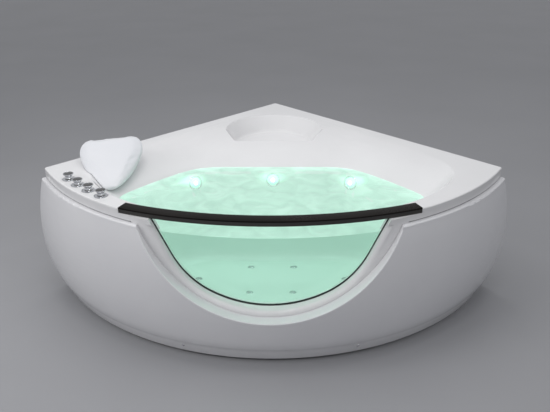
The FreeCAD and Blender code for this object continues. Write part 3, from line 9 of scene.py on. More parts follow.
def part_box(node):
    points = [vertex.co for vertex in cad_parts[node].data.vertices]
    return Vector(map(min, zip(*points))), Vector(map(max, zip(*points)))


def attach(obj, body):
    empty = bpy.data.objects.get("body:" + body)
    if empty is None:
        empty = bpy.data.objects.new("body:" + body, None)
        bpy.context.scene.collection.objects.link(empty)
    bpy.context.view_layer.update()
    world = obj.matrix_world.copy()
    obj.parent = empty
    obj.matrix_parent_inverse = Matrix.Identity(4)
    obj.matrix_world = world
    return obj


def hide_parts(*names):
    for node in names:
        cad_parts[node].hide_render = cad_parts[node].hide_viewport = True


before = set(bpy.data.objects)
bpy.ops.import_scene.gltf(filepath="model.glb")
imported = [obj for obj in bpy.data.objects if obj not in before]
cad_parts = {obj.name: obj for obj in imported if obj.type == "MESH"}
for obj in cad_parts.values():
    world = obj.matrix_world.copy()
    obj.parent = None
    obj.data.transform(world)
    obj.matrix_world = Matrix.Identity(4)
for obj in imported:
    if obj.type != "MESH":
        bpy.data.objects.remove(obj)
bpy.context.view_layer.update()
up = Vector((0, 0, 1))


# ---- shader groups that several finishes share
def shaderGroup(name, inputs, outputs):
    tree = bpy.data.node_groups.new(name, "ShaderNodeTree")
    for label, kind, value in inputs:
        socket = tree.interface.new_socket(label, in_out="INPUT", socket_type=kind)
        socket.default_value = value
    for label, kind in outputs:
        tree.interface.new_socket(label, in_out="OUTPUT", socket_type=kind)
    return tree, tree.nodes.new("NodeGroupInput"), tree.nodes.new("NodeGroupOutput")


def node(tree, kind, settings=None, **inputs):
    made = tree.nodes.new(kind)
    for key, value in (settings or {}).items():
        setattr(made, key, value)
    for key, value in inputs.items():
        socket = made.inputs[int(key[1:])] if key[0] == "i" and key[1:].isdigit() else made.inputs[key]
        if isinstance(value, bpy.types.NodeSocket):
            tree.links.new(value, socket)
        else:
            socket.default_value = value
    return made


def surfaceGrain():
    # fine unevenness: a roughness that wanders and a height for the bump
    tree, given, result = shaderGroup("surfaceGrain", [
        ("Scale", "NodeSocketFloat", 60.0), ("Detail", "NodeSocketFloat", 3.0),
        ("Low", "NodeSocketFloat", 0.1), ("High", "NodeSocketFloat", 0.2),
        ("Stretch", "NodeSocketVector", (1.0, 1.0, 1.0)),
    ], [("Roughness", "NodeSocketFloat"), ("Height", "NodeSocketFloat")])
    place = node(tree, "ShaderNodeTexCoord")
    spread = node(tree, "ShaderNodeVectorMath", {"operation": "MULTIPLY"},
                  i0=place.outputs["Object"], i1=given.outputs["Stretch"])
    fine = node(tree, "ShaderNodeTexNoise", Vector=spread.outputs[0], Scale=given.outputs["Scale"],
                Detail=given.outputs["Detail"])
    broad = node(tree, "ShaderNodeTexNoise", Vector=place.outputs["Object"], Scale=4.5, Detail=2.0)
    share = node(tree, "ShaderNodeMath", {"operation": "MULTIPLY_ADD"},
                 i0=broad.outputs["Fac"], i1=0.65, i2=0.0)
    both = node(tree, "ShaderNodeMath", {"operation": "MULTIPLY_ADD"},
                i0=fine.outputs["Fac"], i1=0.35, i2=share.outputs[0])
    rough = node(tree, "ShaderNodeMapRange", Value=both.outputs[0], **{"From Min": 0.3, "From Max": 0.7,
                 "To Min": given.outputs["Low"], "To Max": given.outputs["High"]})
    tree.links.new(rough.outputs[0], result.inputs["Roughness"])
    tree.links.new(fine.outputs["Fac"], result.inputs["Height"])
    return tree


def toneAndLowDarkening():
    # broad, faint change of tone, and a speckled grey that darkens the piece towards its bottom
    tree, given, result = shaderGroup("toneAndLowDarkening", [
        ("Tone", "NodeSocketColor", (0.8, 0.8, 0.8, 1)), ("Other", "NodeSocketColor", (0.7, 0.7, 0.7, 1)),
        ("Film", "NodeSocketColor", (0.5, 0.49, 0.47, 1)), ("Scale", "NodeSocketFloat", 3.0),
        ("Low Film", "NodeSocketFloat", 0.1), ("Film Top", "NodeSocketFloat", 0.12),
    ], [("Color", "NodeSocketColor")])
    place = node(tree, "ShaderNodeTexCoord")
    cloud = node(tree, "ShaderNodeTexNoise", Vector=place.outputs["Object"], Scale=given.outputs["Scale"],
                 Detail=4.0)
    clear = node(tree, "ShaderNodeMapRange", Value=cloud.outputs["Fac"],
                 **{"From Min": 0.35, "From Max": 0.68, "To Min": 0.0, "To Max": 1.0})
    tone = node(tree, "ShaderNodeMix", {"data_type": "RGBA"}, i0=clear.outputs[0],
                i6=given.outputs["Tone"], i7=given.outputs["Other"])
    parts = node(tree, "ShaderNodeSeparateXYZ", Vector=place.outputs["Object"])
    low = node(tree, "ShaderNodeMapRange", Value=parts.outputs["Z"],
               **{"From Min": given.outputs["Film Top"], "From Max": 0.0,
                  "To Min": 0.0, "To Max": given.outputs["Low Film"]})
    speck = node(tree, "ShaderNodeTexNoise", Vector=place.outputs["Object"], Scale=38.0, Detail=5.0)
    amount = node(tree, "ShaderNodeMath", {"operation": "MULTIPLY"},
                  i0=low.outputs[0], i1=speck.outputs["Fac"])
    darkened = node(tree, "ShaderNodeMix", {"data_type": "RGBA"}, i0=amount.outputs[0],
                  i6=tone.outputs["Result"],
                  i7=given.outputs["Film"])
    tree.links.new(darkened.outputs[2], result.inputs["Color"])
    return tree


grainGroup = surfaceGrain()
toneGroup = toneAndLowDarkening()

# tone and its neighbour, roughness range, grain scale and stretch, bump, and the shader's plain values
finishes = {
    "acrylic_white": dict(tone=(0.83, 0.825, 0.83), other=(0.80, 0.795, 0.80), rough=(0.10, 0.17), scale=180,
                          bump=0.012, coat=0.6, film=0.10),
    "panel_white": dict(tone=(0.79, 0.785, 0.80), other=(0.76, 0.755, 0.775), rough=(0.12, 0.20), scale=140,
                        bump=0.015, coat=0.5, film=0.35),
    "rubber_black": dict(tone=(0.030, 0.031, 0.033), other=(0.045, 0.045, 0.046), rough=(0.45, 0.62), scale=420,
                         bump=0.12),
    "seal_grey": dict(tone=(0.38, 0.38, 0.39), other=(0.33, 0.33, 0.34), rough=(0.4, 0.55), scale=400,
                      bump=0.1),
    "rail_dark": dict(tone=(0.010, 0.009, 0.008), other=(0.016, 0.014, 0.013), rough=(0.20, 0.30), scale=260,
                      bump=0.02, specular=0.05),
    "rail_grey": dict(tone=(0.055, 0.053, 0.050), other=(0.042, 0.040, 0.038), rough=(0.34, 0.46), scale=300,
                      bump=0.03, metallic=0.3, stretch=(1, 1, 14)),
    "chrome": dict(tone=(0.70, 0.71, 0.73), other=(0.62, 0.63, 0.65), rough=(0.04, 0.09), scale=90, bump=0.006,
                   metallic=1.0),
    # knob tops: black gloss that paints the reflection of dark surroundings in the chrome
    "knob_top": dict(tone=(0.010, 0.010, 0.011), other=(0.016, 0.016, 0.018), rough=(0.05, 0.11), scale=120,
                     bump=0.004, coat=0.8),
    "lens_green": dict(tone=(0.62, 0.93, 0.80), other=(0.50, 0.90, 0.72), rough=(0.18, 0.28), scale=300,
                       bump=0.05, glow=(0.30, 1.0, 0.60), strength=0.35),
    "lit_core": dict(tone=(0.75, 0.95, 0.86), other=(0.70, 0.93, 0.82), rough=(0.2, 0.3), scale=300,
                     bump=0.02, glow=(0.60, 1.0, 0.80), strength=4.0),
    "pad_white": dict(tone=(0.80, 0.805, 0.83), other=(0.75, 0.76, 0.79), rough=(0.36, 0.46), scale=1400,
                      bump=0.10, sheen=0.12, film=0.0),
    "brass": dict(tone=(0.60, 0.44, 0.19), other=(0.48, 0.34, 0.15), rough=(0.22, 0.38), scale=240, bump=0.04,
                  metallic=1.0, stretch=(1, 1, 10)),
    "steel": dict(tone=(0.55, 0.56, 0.58), other=(0.43, 0.44, 0.46), rough=(0.26, 0.42), scale=220, bump=0.05,
                  metallic=1.0, stretch=(1, 1, 8)),
    "frame_paint": dict(tone=(0.34, 0.35, 0.36), other=(0.29, 0.30, 0.31), rough=(0.42, 0.55), scale=900,
                        bump=0.16, film=0.6),
    "board": dict(tone=(0.48, 0.33, 0.18), other=(0.33, 0.21, 0.11), rough=(0.6, 0.8), scale=150, bump=0.3,
                  stretch=(1, 1.6, 1), toneScale=70),
    "plastic_grey": dict(tone=(0.21, 0.215, 0.22), other=(0.18, 0.185, 0.19), rough=(0.38, 0.5), scale=500,
                         bump=0.08, film=0.4),
    "plastic_white": dict(tone=(0.70, 0.70, 0.69), other=(0.64, 0.64, 0.62), rough=(0.34, 0.46), scale=400,
                          bump=0.05, film=0.3),
    # also the black of the air jets' holes, where it paints the shade inside them
    "plastic_black": dict(tone=(0.022, 0.022, 0.024), other=(0.032, 0.032, 0.034), rough=(0.36, 0.5), scale=450,
                          bump=0.08),
    "motor_paint": dict(tone=(0.045, 0.048, 0.052), other=(0.06, 0.063, 0.068), rough=(0.3, 0.44), scale=700,
                        bump=0.1),
}
materials = {}


def finish(name):
    if name in materials:
        return materials[name]
    look = finishes[name]
    made = bpy.data.materials.new(name)
    made.use_nodes = True
    tree = made.node_tree
    shader = tree.nodes["Principled BSDF"]
    tone = node(tree, "ShaderNodeGroup", {"node_tree": toneGroup}, Tone=look["tone"] + (1,),
                Other=look["other"] + (1,), Scale=float(look.get("toneScale", 3.5)),
                **{"Low Film": look.get("film", 0.15)})
    grain = node(tree, "ShaderNodeGroup", {"node_tree": grainGroup}, Scale=float(look["scale"]),
                 Low=look["rough"][0], High=look["rough"][1], Stretch=look.get("stretch", (1, 1, 1)))
    bump = node(tree, "ShaderNodeBump", Strength=look["bump"], Distance=0.001, Height=grain.outputs["Height"])
    tree.links.new(tone.outputs["Color"], shader.inputs["Base Color"])
    tree.links.new(grain.outputs["Roughness"], shader.inputs["Roughness"])
    tree.links.new(bump.outputs["Normal"], shader.inputs["Normal"])
    shader.inputs["Metallic"].default_value = look.get("metallic", 0.0)
    shader.inputs["Coat Weight"].default_value = look.get("coat", 0.0)
    shader.inputs["Coat Roughness"].default_value = 0.06
    shader.inputs["Specular IOR Level"].default_value = look.get("specular", 0.5)
    shader.inputs["Sheen Weight"].default_value = look.get("sheen", 0.0)
    if "glow" in look:
        shader.inputs["Emission Color"].default_value = look["glow"] + (1,)
        shader.inputs["Emission Strength"].default_value = look["strength"]
    materials[name] = made
    return made


def glassFinish():
    made = bpy.data.materials.new("clear_glass")
    made.use_nodes = True
    tree = made.node_tree
    shader = tree.nodes["Principled BSDF"]
    grain = node(tree, "ShaderNodeGroup", {"node_tree": grainGroup}, Scale=25.0, Low=0.0, High=0.02)
    shader.inputs["Base Color"].default_value = (0.90, 0.97, 0.94, 1)
    shader.inputs["Transmission Weight"].default_value = 1.0
    shader.inputs["IOR"].default_value = 1.45
    tree.links.new(grain.outputs["Roughness"], shader.inputs["Roughness"])
    materials["clear_glass"] = made


glassFinish()
print("finishes ready", len(finishes))


# ---- helpers for pieces
def addObject(name, mesh):
    obj = bpy.data.objects.new(name, mesh)
    bpy.context.scene.collection.objects.link(obj)
    return obj


def smoothed(mesh, angle=35):
    mesh.polygons.foreach_set("use_smooth", [True] * len(mesh.polygons))
    mesh.set_sharp_from_angle(angle=math.radians(angle))
    mesh.update()
    return mesh


def dress(obj, look, body="tub", nodes=()):
    obj.data.materials.clear()
    obj.data.materials.append(finish(look))
    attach(obj, body)
    if nodes:
        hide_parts(*nodes)


def camel(name):
    first, *rest = name.split("_")
    return first + "".join(word.capitalize() for word in rest)


def mergedMesh(nodeName):
    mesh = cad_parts[nodeName].data.copy()
    if "custom_normal" in mesh.attributes:
        mesh.attributes.remove(mesh.attributes["custom_normal"])
    bm = bmesh.new()
    bm.from_mesh(mesh)
    bmesh.ops.remove_doubles(bm, verts=bm.verts, dist=1e-5)
    bmesh.ops.dissolve_degenerate(bm, dist=1e-6, edges=bm.edges)
    bm.to_mesh(mesh)
    bm.free()
    return mesh


def carriedOver(nodeName, look, body="tub", angle=35):
    # a CAD node's own mesh, with even shading
    obj = addObject(camel(nodeName), smoothed(mergedMesh(nodeName), angle))
    fair = obj.modifiers.new("evenShading", "WEIGHTED_NORMAL")
    fair.keep_sharp = True
    dress(obj, look, body, [nodeName])


def islands(nodeName):
    # the separate solids of a node, as arrays of points
    bm = bmesh.new()
    bm.from_mesh(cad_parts[nodeName].data)
    bmesh.ops.remove_doubles(bm, verts=bm.verts, dist=1e-5)
    found, seen = [], set()
    for start in bm.verts:
        if start in seen:
            continue
        seen.add(start)
        members, front = [], [start]
        while front:
            vert = front.pop()
            members.append(tuple(vert.co))
            for edge in vert.link_edges:
                other = edge.other_vert(vert)
                if other not in seen:
                    seen.add(other)
                    front.append(other)
        found.append(np.array(members))
    bm.free()
    return sorted(found, key=lambda points: (round(points[:, 0].mean(), 3), points[:, 1].mean()))


def discAxis(points, towards, longest=False):
    # the axis of a round solid and its extent: (foot point, axis, radius, length)
    middle = (points.max(0) + points.min(0)) / 2
    turns = np.linalg.eigh(np.cov((points - points.mean(0)).T))[1]
    axis = Vector(turns[:, 2 if longest else 0]).normalized()
    if axis.dot(Vector(towards)) < 0:
        axis = -axis
    along = (points - middle) @ np.array(axis)
    middle = middle + np.array(axis) * (along.max() + along.min()) / 2
    off = (points - middle) - np.outer((points - middle) @ np.array(axis), np.array(axis))
    centre = middle + (off.max(0) + off.min(0)) / 2
    radius = np.linalg.norm(off - (off.max(0) + off.min(0)) / 2, axis=1).max()
    length = along.max() - along.min()
    return Vector(centre) - axis * length / 2, axis, float(radius), float(length)


def softCorners(profile, radius, closed=False):
    # rounds the corners of a profile with short curves
    result = []
    count = len(profile)
    for i, point in enumerate(profile):
        before = profile[i - 1] if i or closed else None
        after = profile[(i + 1) % count] if i < count - 1 or closed else None
        here = Vector(point)
        if before is None or after is None or (point[0] == 0 and not closed):
            result.append(here)
            continue
        one, two = Vector(before) - here, Vector(after) - here
        reach = min(radius, one.length * 0.45, two.length * 0.45)
        first, last = here + one.normalized() * reach, here + two.normalized() * reach
        for k in range(5):
            t = k / 4
            result.append(first * (1 - t) ** 2 + here * 2 * t * (1 - t) + last * t ** 2)
    return result


def latheMesh(name, profile, foot, axis, closed=False, steps=64):
    bm = bmesh.new()
    turn = up.rotation_difference(axis).to_matrix()
    rings = []
    for radius, height in profile:
        if radius < 1e-6:
            rings.append([bm.verts.new(foot + turn @ Vector((0, 0, height)))])
            continue
        ring = []
        for k in range(steps):
            a = 2 * math.pi * k / steps
            spot = Vector((radius * math.cos(a), radius * math.sin(a), height))
            ring.append(bm.verts.new(foot + turn @ spot))
        rings.append(ring)
    pairs = list(zip(rings, rings[1:])) + ([(rings[-1], rings[0])] if closed else [])
    for low, high in pairs:
        for k in range(steps):
            near, far = k, (k + 1) % steps
            if len(low) == 1 and len(high) == 1:
                break
            if len(low) == 1:
                bm.faces.new((low[0], high[far], high[near]))
            elif len(high) == 1:
                bm.faces.new((low[near], low[far], high[0]))
            else:
                bm.faces.new((low[near], low[far], high[far], high[near]))
    bmesh.ops.recalc_face_normals(bm, faces=bm.faces)
    mesh = bpy.data.meshes.new(name)
    bm.to_mesh(mesh)
    bm.free()
    return mesh


def joined(name, meshes):
    bm = bmesh.new()
    for mesh in meshes:
        bm.from_mesh(mesh)
    mesh = bpy.data.meshes.new(name)
    bm.to_mesh(mesh)
    bm.free()
    return mesh


# ---- geometry trees
def geometryTree(name, inputs):
    tree = bpy.data.node_groups.new(name, "GeometryNodeTree")
    tree.interface.new_socket("Geometry", in_out="OUTPUT", socket_type="NodeSocketGeometry")
    for label, kind, value in inputs:
        socket = tree.interface.new_socket(label, in_out="INPUT", socket_type=kind)
        if value is not None:
            socket.default_value = value
    return tree, tree.nodes.new("NodeGroupInput"), tree.nodes.new("NodeGroupOutput")


def growFrom(name, tree, mesh, values):
    # runs a tree and turns the result into a plain mesh
    obj = addObject(name, mesh)
    modifier = obj.modifiers.new("grow", "NODES")
    modifier.node_group = tree
    for item in tree.interface.items_tree:
        if item.in_out == "INPUT" and item.name in values:
            modifier[item.identifier] = values[item.name]
    bpy.context.view_layer.update()
    graph = bpy.context.evaluated_depsgraph_get()
    result = bpy.data.meshes.new_from_object(obj.evaluated_get(graph), preserve_all_data_layers=True,
                                             depsgraph=graph)
    obj.modifiers.clear()
    obj.data = result
    return obj


def copiesTree():
    # copies of one part on points that carry where each copy faces and how it is rolled
    tree, given, result = geometryTree("placedCopies", [
        ("Geometry", "NodeSocketGeometry", None), ("Part", "NodeSocketObject", None),
        ("Size", "NodeSocketFloat", 1.0), ("Finish", "NodeSocketMaterial", None),
    ])
    part = node(tree, "GeometryNodeObjectInfo", Object=given.outputs["Part"])
    facing = node(tree, "GeometryNodeInputNamedAttribute", {"data_type": "FLOAT_VECTOR"}, Name="facing")
    rolled = node(tree, "GeometryNodeInputNamedAttribute", {"data_type": "FLOAT_VECTOR"}, Name="rolled")
    first = node(tree, "FunctionNodeAlignRotationToVector", {"axis": "Z"},
                 Vector=facing.outputs["Attribute"])
    second = node(tree, "FunctionNodeAlignRotationToVector", {"axis": "X", "pivot_axis": "Z"},
                  Rotation=first.outputs["Rotation"], Vector=rolled.outputs["Attribute"])
    copies = node(tree, "GeometryNodeInstanceOnPoints", Points=given.outputs["Geometry"],
                  Instance=part.outputs["Geometry"], Rotation=second.outputs["Rotation"],
                  Scale=given.outputs["Size"])
    real = node(tree, "GeometryNodeRealizeInstances", Geometry=copies.outputs["Instances"])
    painted = node(tree, "GeometryNodeSetMaterial", Geometry=real.outputs["Geometry"],
                   Material=given.outputs["Finish"])
    tree.links.new(painted.outputs["Geometry"], result.inputs["Geometry"])
    return tree


def barTree():
    # a bar of rounded section swept along an arc about an upright axis
    tree, given, result = geometryTree("sweptBar", [
        ("Radius", "NodeSocketFloat", 1.4), ("Half Angle", "NodeSocketFloat", 0.4),
        ("Width", "NodeSocketFloat", 0.05), ("Height", "NodeSocketFloat", 0.006),
        ("Edge", "NodeSocketFloat", 0.0015), ("Base", "NodeSocketFloat", 0.577),
        ("Axis Y", "NodeSocketFloat", 0.73), ("Finish", "NodeSocketMaterial", None),
    ])
    start = node(tree, "ShaderNodeMath", {"operation": "SUBTRACT"}, i0=-math.pi / 2,
                 i1=given.outputs["Half Angle"])
    sweep = node(tree, "ShaderNodeMath", {"operation": "MULTIPLY"}, i0=given.outputs["Half Angle"], i1=2.0)
    arc = node(tree, "GeometryNodeCurveArc", {"mode": "RADIUS"}, Resolution=160, Radius=given.outputs["Radius"],
               **{"Start Angle": start.outputs[0], "Sweep Angle": sweep.outputs[0]})
    section = node(tree, "GeometryNodeCurvePrimitiveQuadrilateral", {"mode": "RECTANGLE"},
                   Width=given.outputs["Width"], Height=given.outputs["Height"])
    eased = node(tree, "GeometryNodeFilletCurve", {"mode": "POLY"}, Curve=section.outputs["Curve"],
                 Radius=given.outputs["Edge"], Count=4)
    bar = node(tree, "GeometryNodeCurveToMesh", Curve=arc.outputs["Curve"],
               **{"Profile Curve": eased.outputs["Curve"], "Fill Caps": True})
    half = node(tree, "ShaderNodeMath", {"operation": "MULTIPLY_ADD"}, i0=given.outputs["Height"], i1=0.5,
                i2=given.outputs["Base"])
    place = node(tree, "ShaderNodeCombineXYZ", Y=given.outputs["Axis Y"], Z=half.outputs[0])
    moved = node(tree, "GeometryNodeTransform", Geometry=bar.outputs["Mesh"], Translation=place.outputs[0])
    real = node(tree, "GeometryNodeRealizeInstances", Geometry=moved.outputs["Geometry"])
    painted = node(tree, "GeometryNodeSetMaterial", Geometry=real.outputs["Geometry"],
                   Material=given.outputs["Finish"])
    tree.links.new(painted.outputs["Geometry"], result.inputs["Geometry"])
    return tree


copies = copiesTree()
sweptBar = barTree()


def placedCopies(name, part, places, look, size=1.0):
    # places are (point, facing, rolled)
    mesh = bpy.data.meshes.new(name + "Places")
    mesh.from_pydata([place[0] for place in places], [], [])
    for label, column in (("facing", 1), ("rolled", 2)):
        values = mesh.attributes.new(label, "FLOAT_VECTOR", "POINT")
        values.data.foreach_set("vector", [x for place in places for x in place[column]])
    holder = addObject(name + "Part", part)
    obj = growFrom(name, copies, mesh, {"Part": holder, "Size": size, "Finish": finish(look)})
    bpy.data.objects.remove(holder)
    return obj


# ---- tub, window and rail
def makeShell():
    carriedOver("tub_shell", "acrylic_white", angle=38)
    carriedOver("front_apron", "panel_white", angle=38)
    carriedOver("window_pane", "clear_glass", angle=40)
    carriedOver("window_gasket", "rubber_black", angle=40)
    carriedOver("rail_channel", "rail_grey", angle=40)
    carriedOver("rail_seal", "rubber_black", angle=40)
    carriedOver("apron_edge_seal", "seal_grey", angle=40)


# the axis is looked for between two places on y, among the points within a band of the outer edge
rail = {"edge": 0.0016, "endEdge": 0.0012, "axisFrom": 0.60, "axisTo": 0.85, "axisTries": 2501, "band": 0.004}


def makeRail():
    low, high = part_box("rail_cap")
    points = np.array([tuple(vert.co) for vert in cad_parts["rail_cap"].data.vertices])
    end = points[np.argmax(points[:, 0])]
    axisY = railAxis(points)
    outer = axisY - low.y
    inner = np.hypot(points[:, 0], points[:, 1] - axisY).min()
    half = math.atan2(end[0], axisY - end[1])
    obj = growFrom("railCap", sweptBar, bpy.data.meshes.new("railCap"), {
        "Radius": (outer + inner) / 2, "Half Angle": half, "Width": outer - inner,
        "Height": high.z - low.z, "Edge": rail["edge"], "Base": low.z, "Axis Y": axisY,
        "Finish": finish("rail_dark")})
    bm = bmesh.new()
    bm.from_mesh(obj.data)
    bmesh.ops.remove_doubles(bm, verts=bm.verts, dist=1e-6)
    bmesh.ops.recalc_face_normals(bm, faces=bm.faces)
    bm.to_mesh(obj.data)
    bm.free()
    smoothed(obj.data, 30)
    ends = obj.modifiers.new("endEdge", "BEVEL")
    ends.width = rail["endEdge"]
    ends.segments = 3
    ends.limit_method = "ANGLE"
    ends.angle_limit = math.radians(60)
    dress(obj, "rail_dark", nodes=["rail_cap"])


def railAxis(points):
    # the y from which most points of the outer edge are equally far; the edge is symmetric about x = 0
    lowest = points[points[:, 2] < points[:, 2].min() + 1e-4]
    best = None
    for y in np.linspace(rail["axisFrom"], rail["axisTo"], rail["axisTries"]):
        reach = np.hypot(lowest[:, 0], lowest[:, 1] - y)
        outer = reach[reach > reach.max() - rail["band"]]
        score = (len(outer), -outer.std())
        if best is None or score > best[0]:
            best = (score, y)
    return best[1]


makeShell()
makeRail()
print("tub, window and rail ready")


# ---- controls on the deck
# waist and the dark top disc are shares of the radius, and the flare of the foot is a share of the waist; the
# dark top disc is a painted reflection of dark surroundings in the chrome top
knob = {"waist": 0.62, "flare": 1.16, "lift": 0.0006, "topEdge": 0.0022, "inlay": 0.80, "reflectionDiscDepth": 0.0012,
        "reflectionDiscLip": 0.001, "reflectionDiscGap": 0.0004}


def makeKnob(name):
    low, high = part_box("knob_" + name)
    centre = Vector(((low.x + high.x) / 2, (low.y + high.y) / 2, low.z))
    r = (high.x - low.x) / 2
    h = high.z - low.z
    waist = r * knob["waist"]
    foot = waist * knob["flare"]
    inlay = r * knob["inlay"]
    sunk = h - knob["reflectionDiscDepth"]
    outline = [(0, knob["lift"]), (foot, knob["lift"]), (foot, h * 0.12), (waist * 0.98, h * 0.30),
               (waist * 1.05, h * 0.48), (r * 0.97, h * 0.86), (r, h * 0.93), (r * 0.95, h),
               (inlay + knob["reflectionDiscLip"], h), (inlay + knob["reflectionDiscGap"], sunk), (0, sunk)]
    profile = softCorners(outline, knob["topEdge"])
    obj = addObject(camel("knob_" + name), smoothed(latheMesh("knobBody", profile, centre, up, steps=96), 50))
    dress(obj, "chrome", "knob_" + name, ["knob_" + name])
    # the black disc set into the top is a painted reflection of dark surroundings in the chrome, laid over the
    # sunk top of the body
    top = [(0, sunk), (inlay, sunk), (inlay, h - 0.0004), (r * 0.4, h - 0.0001), (0, h)]
    cover = addObject(camel("knob_" + name) + "Top",
                      smoothed(latheMesh("knobTop", softCorners(top, 0.0006), centre, up, steps=72), 50))
    dress(cover, "knob_top", "knob_" + name)


def makeControls():
    for name in ("hot", "cold", "drain", "air"):
        makeKnob(name)
        carriedOver("spindle_" + name, "brass", "knob_" + name)
        carriedOver("valve_" + name, "brass")
    rings = []
    for points in islands("knob_escutcheons"):
        foot, axis, r, h = discAxis(points, up)
        hole = np.linalg.norm((points - np.array(foot))[:, :2], axis=1).min()
        outline = [(hole, 0.0001), (r, 0.0001), (r, h * 0.30), (r * 0.86, h * 0.62), (r * 0.80, h), (hole, h)]
        rings.append(latheMesh("ring", softCorners(outline, 0.0011, True), foot, axis, True, 96))
    obj = addObject("knobEscutcheons", smoothed(joined("knobEscutcheons", rings), 50))
    dress(obj, "chrome", nodes=["knob_escutcheons"])


makeControls()
print("controls ready")


# ---- round fittings in the basin
lens = {"core": 0.40, "coreRise": 0.0016, "facing": (0, -1, 0.1)}


def makeLights():
    bezels, lenses, cores = [], [], []
    for points in islands("light_bezels"):
        foot, axis, r, h = discAxis(points, lens["facing"])
        off = (points - np.array(foot)) - np.outer((points - np.array(foot)) @ np.array(axis), np.array(axis))
        hole = np.linalg.norm(off, axis=1).min()
        outline = [(hole, 0), (r, 0), (r, h * 0.35), (r * 0.90, h), (hole + 0.0018, h * 0.94), (hole, h * 0.6)]
        bezels.append(latheMesh("bezel", softCorners(outline, 0.0013, True), foot, axis, True, 72))
    for points in islands("light_lenses"):
        foot, axis, r, h = discAxis(points, lens["facing"])
        dome = [(0, 0), (r, 0)] + [(r * math.cos(a), h * (0.5 + 0.5 * math.sin(a)))
                                   for a in np.linspace(0.1, 1.4, 8)] + [(0, h)]
        lenses.append(latheMesh("lens", dome, foot, axis, False, 64))
        core = r * lens["core"]
        bead = [(0, 0), (core, 0), (core * 0.8, lens["coreRise"] * 0.7), (0, lens["coreRise"])]
        cores.append(latheMesh("core", bead, foot + axis * (h - 0.0004), axis, False, 40))
    dress(addObject("lightBezels", smoothed(joined("lightBezels", bezels), 50)), "chrome",
          nodes=["light_bezels"])
    dress(addObject("lightLenses", smoothed(joined("lightLenses", lenses), 60)), "lens_green",
          nodes=["light_lenses"])
    dress(addObject("lightCores", smoothed(joined("lightCores", cores), 60)), "lit_core")


jet = {"holes": 8, "ring": 0.62, "holeRadius": 0.0011}


def makeJets():
    caps, places = [], []
    for points in islands("air_jet_caps"):
        foot, axis, r, h = discAxis(points, up)
        outline = [(0, 0.0001), (r, 0.0001), (r, h * 0.3), (r * 0.86, h * 0.82), (r * 0.45, h), (0, h)]
        caps.append(latheMesh("cap", softCorners(outline, 0.0012), foot, axis, False, 56))
        for k in range(jet["holes"]):
            a = 2 * math.pi * k / jet["holes"]
            out = Vector((math.cos(a), math.sin(a), 0))
            places.append((foot + out * r * jet["ring"] + up * h * 0.90, (up * 3 + out).normalized(), out))
    dress(addObject("airJetCaps", smoothed(joined("airJetCaps", caps), 50)), "chrome", nodes=["air_jet_caps"])
    # each air hole is a small black dish on the cap: painted shade where the inside of the hole is dark
    shadeDisc = latheMesh("jetHoleShade", [(0, 0.0001), (jet["holeRadius"], 0.0001), (jet["holeRadius"] * 1.2, 0.0003),
                                   (jet["holeRadius"] * 1.35, -0.0002), (0, -0.0004)],
                      Vector((0, 0, 0)), up, False, 12)
    holes = placedCopies("airJetMouths", shadeDisc, places, "plastic_black")
    dress(holes, "plastic_black")


def makeWaste():
    carriedOver("waste_flange", "chrome", angle=40)
    low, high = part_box("drain_plug")
    head = (high.x - low.x) / 2
    centre = Vector(((low.x + high.x) / 2, (low.y + high.y) / 2, 0))
    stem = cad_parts["drain_plug"].data.vertices
    lowest = [vert.co for vert in stem if vert.co.z < low.z + 0.001]
    narrow = max(math.hypot(co.x - centre.x, co.y - centre.y) for co in lowest)
    under = min(vert.co.z for vert in stem
                if math.hypot(vert.co.x - centre.x, vert.co.y - centre.y) > head * 0.9)
    outline = [(0, low.z), (narrow, low.z), (narrow, under), (head, under), (head, under + 0.0015),
               (head * 0.84, high.z - 0.0006), (0, high.z)]
    plug = latheMesh("drainPlug", softCorners(outline, 0.0012), centre, up, False, 72)
    dress(addObject("drainPlug", smoothed(plug, 50)), "chrome", "plug", ["drain_plug"])
    points = islands("filler_plate")[0]
    foot, axis, r, h = discAxis(points, (0.3, 1, 0))
    face = [(0, 0), (r, 0), (r, h * 0.4), (r * 0.9, h * 0.85), (r * 0.72, h), (r * 0.66, h * 0.72),
            (0, h * 0.72)]
    plate = latheMesh("fillerPlate", softCorners(face, 0.0014), foot, axis, False, 72)
    dress(addObject("fillerPlate", smoothed(plate, 50)), "chrome", nodes=["filler_plate"])


makeLights()
makeJets()
makeWaste()
print("basin fittings ready")


# ---- apron screws: domed caps with a fine rim
screw = {"shank": 0.38, "steps": 40, "middleY": 0.4}


def makeScrews():
    places = []
    radius = rise = 0
    for points in islands("apron_screws"):
        foot, axis, r, length = discAxis(points, (0, -1, 0), longest=True)
        if axis.dot(Vector((points[:, 0].mean(), points[:, 1].mean() - screw["middleY"], 0))) < 0:
            axis = -axis
        places.append((foot, axis, up.cross(axis)))
        radius, rise = r, length
    shank = radius * screw["shank"]
    outline = [(0, 0), (shank, 0.002), (shank, rise * 0.81), (radius, rise * 0.81), (radius, rise * 0.86),
               (radius * 0.86, rise * 0.94), (radius * 0.5, rise * 0.99), (0, rise)]
    cap = latheMesh("screwCap", softCorners(outline, 0.0006), Vector((0, 0, 0)), up, False, screw["steps"])
    obj = placedCopies("apronScrews", cap, places, "chrome")
    smoothed(obj.data, 50)
    dress(obj, "chrome", nodes=["apron_screws"])


makeScrews()
print("screws ready")


# ---- headrest: a skinned foam pad, filled by a cloth run and held where it meets the tub
pad = {"voxel": 0.006, "shrink": 0.0018, "pressure": 4.0, "frames": 16, "cap": 0.006, "touch": 0.002,
       "hold": 0.010, "fill": 0.8}


